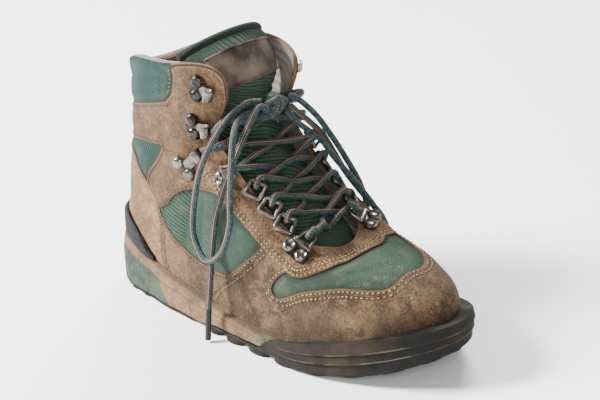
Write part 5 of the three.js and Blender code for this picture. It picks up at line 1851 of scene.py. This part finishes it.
def buildTread(s):
    bm = bmesh.new()
    edge, heelEdge, middle = s["edge"], s["heel"], s["barMiddle"]
    for k in range(edge["count"]):
        start = edge["start"] + k * edge["pitch"]
        edgeLug(bm, start, start + edge["pitch"] * edge["fill"], edge["reach"], edge["slant"])
    for side in (-1, 1):
        for k in range(heelEdge["count"]):
            start = heelEdge["start"] + k * heelEdge["pitch"]
            ends = (start, start + heelEdge["pitch"] * heelEdge["fill"])
            low, high = ends if side < 0 else (-ends[1], -ends[0])
            edgeLug(bm, low, high, heelEdge["reach"], heelEdge["slant"])
    for x, halfWidth, length, sweep in s["bars"]:
        back, front = x - length / 2, x + length / 2
        addLug(bm, [(back, middle - halfWidth), (front, middle - halfWidth), (front + sweep, middle),
                    (front, middle + halfWidth), (back, middle + halfWidth), (back + sweep, middle)])
    outerSide = [outlineAt(u, 1.2) for u in np.linspace(*s["waistOuter"], 7)]
    innerSide = [outlineAt(u, 1.2) for u in np.linspace(*s["waistInner"], 8)]
    addLug(bm, [tuple(p) for p in outerSide + innerSide], s["waistClearance"])
    bmesh.ops.recalc_face_normals(bm, faces=bm.faces)
    bm.transform(Matrix.Scale(mm, 4))
    newPiece("outsole_tread", bm, finishes["rubber"], smoothFaces=False)


buildTread(treadSettings)


cupSettings = {"reach": 3.05, "columns": 200, "rows": 92, "thick": 3.6, "outerPart": 0.55, "ribPitch": 3.0}


def buildCup(s):
    # heel cup with thin ribs, wrapped round the counter as an outer layer and a return behind it
    topLine = profile([(-160, 57), (-135, 55.5), (-122, 52.5), (-112, 48), (-103, 41.5), (-96, 34),
                       (-92, 31)])
    outerPart = s["outerPart"]

    def place(a, b):
        u = (a * 2 - 1) * s["reach"]
        outerLayer = b < outerPart
        span = np.clip(np.where(outerLayer, b / outerPart, (1 - b) / (1 - outerPart)), 0, 1)
        x = upperPoint(u, 0.0)[:, 0]
        low = midsoleTop(x) + shape["gap"] + 0.1
        tall = np.maximum(topLine(x) - low, 0.4)
        z = low + tall * span
        v = np.zeros_like(u)
        for _ in range(14):  # the v at which the upper has this height
            now = upperPoint(u, np.clip(v, 0, 1))[:, 2]
            ahead = upperPoint(u, np.clip(v + 0.01, 0, 1))[:, 2]
            v = np.clip(v + (z - now) / np.maximum(1, (ahead - now) / 0.01), 0, 1)
        end = np.clip((tall - 0.4) / 6, 0, 1)
        rib = 0.35 * np.sin(span * tall * fullTurn / s["ribPitch"])
        rib = rib * end * smooth(0.02, 0.12, span) * (1 - smooth(0.86, 0.96, span))
        out = np.where(outerLayer, s["thick"] - 1.2 * smooth(0.86, 1.0, span) ** 2 + rib, 0.3)
        out = 0.3 + (out - 0.3) * (0.35 + 0.65 * end)
        return upperPoint(u, v) + upperNormal(u, v) * out[:, None]

    bm = sheetMesh(s["columns"], s["rows"], place, (300, 60))
    closeSeams(bm)
    newPiece("boot_heel_cup", bm, finishes["cup"], replaces=["heel_cup"])


buildCup(cupSettings)
say("sole")


def buildFloor():
    bm = bmesh.new()
    bmesh.ops.create_grid(bm, x_segments=1, y_segments=1, size=3.0)
    data = bpy.data.meshes.new("floor")
    bm.to_mesh(data)
    bm.free()
    floor = bpy.data.objects.new("floor", data)
    bpy.context.collection.objects.link(floor)
    f = Finish("floor")
    soft = f.noise(3, 2)
    shade = f.mix(tint(246, 247, 248), tint(242, 243, 245), soft)
    data.materials.append(f.done(Base_Color=shade, Roughness=0.5))


buildFloor()
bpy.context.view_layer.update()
say("sizes")
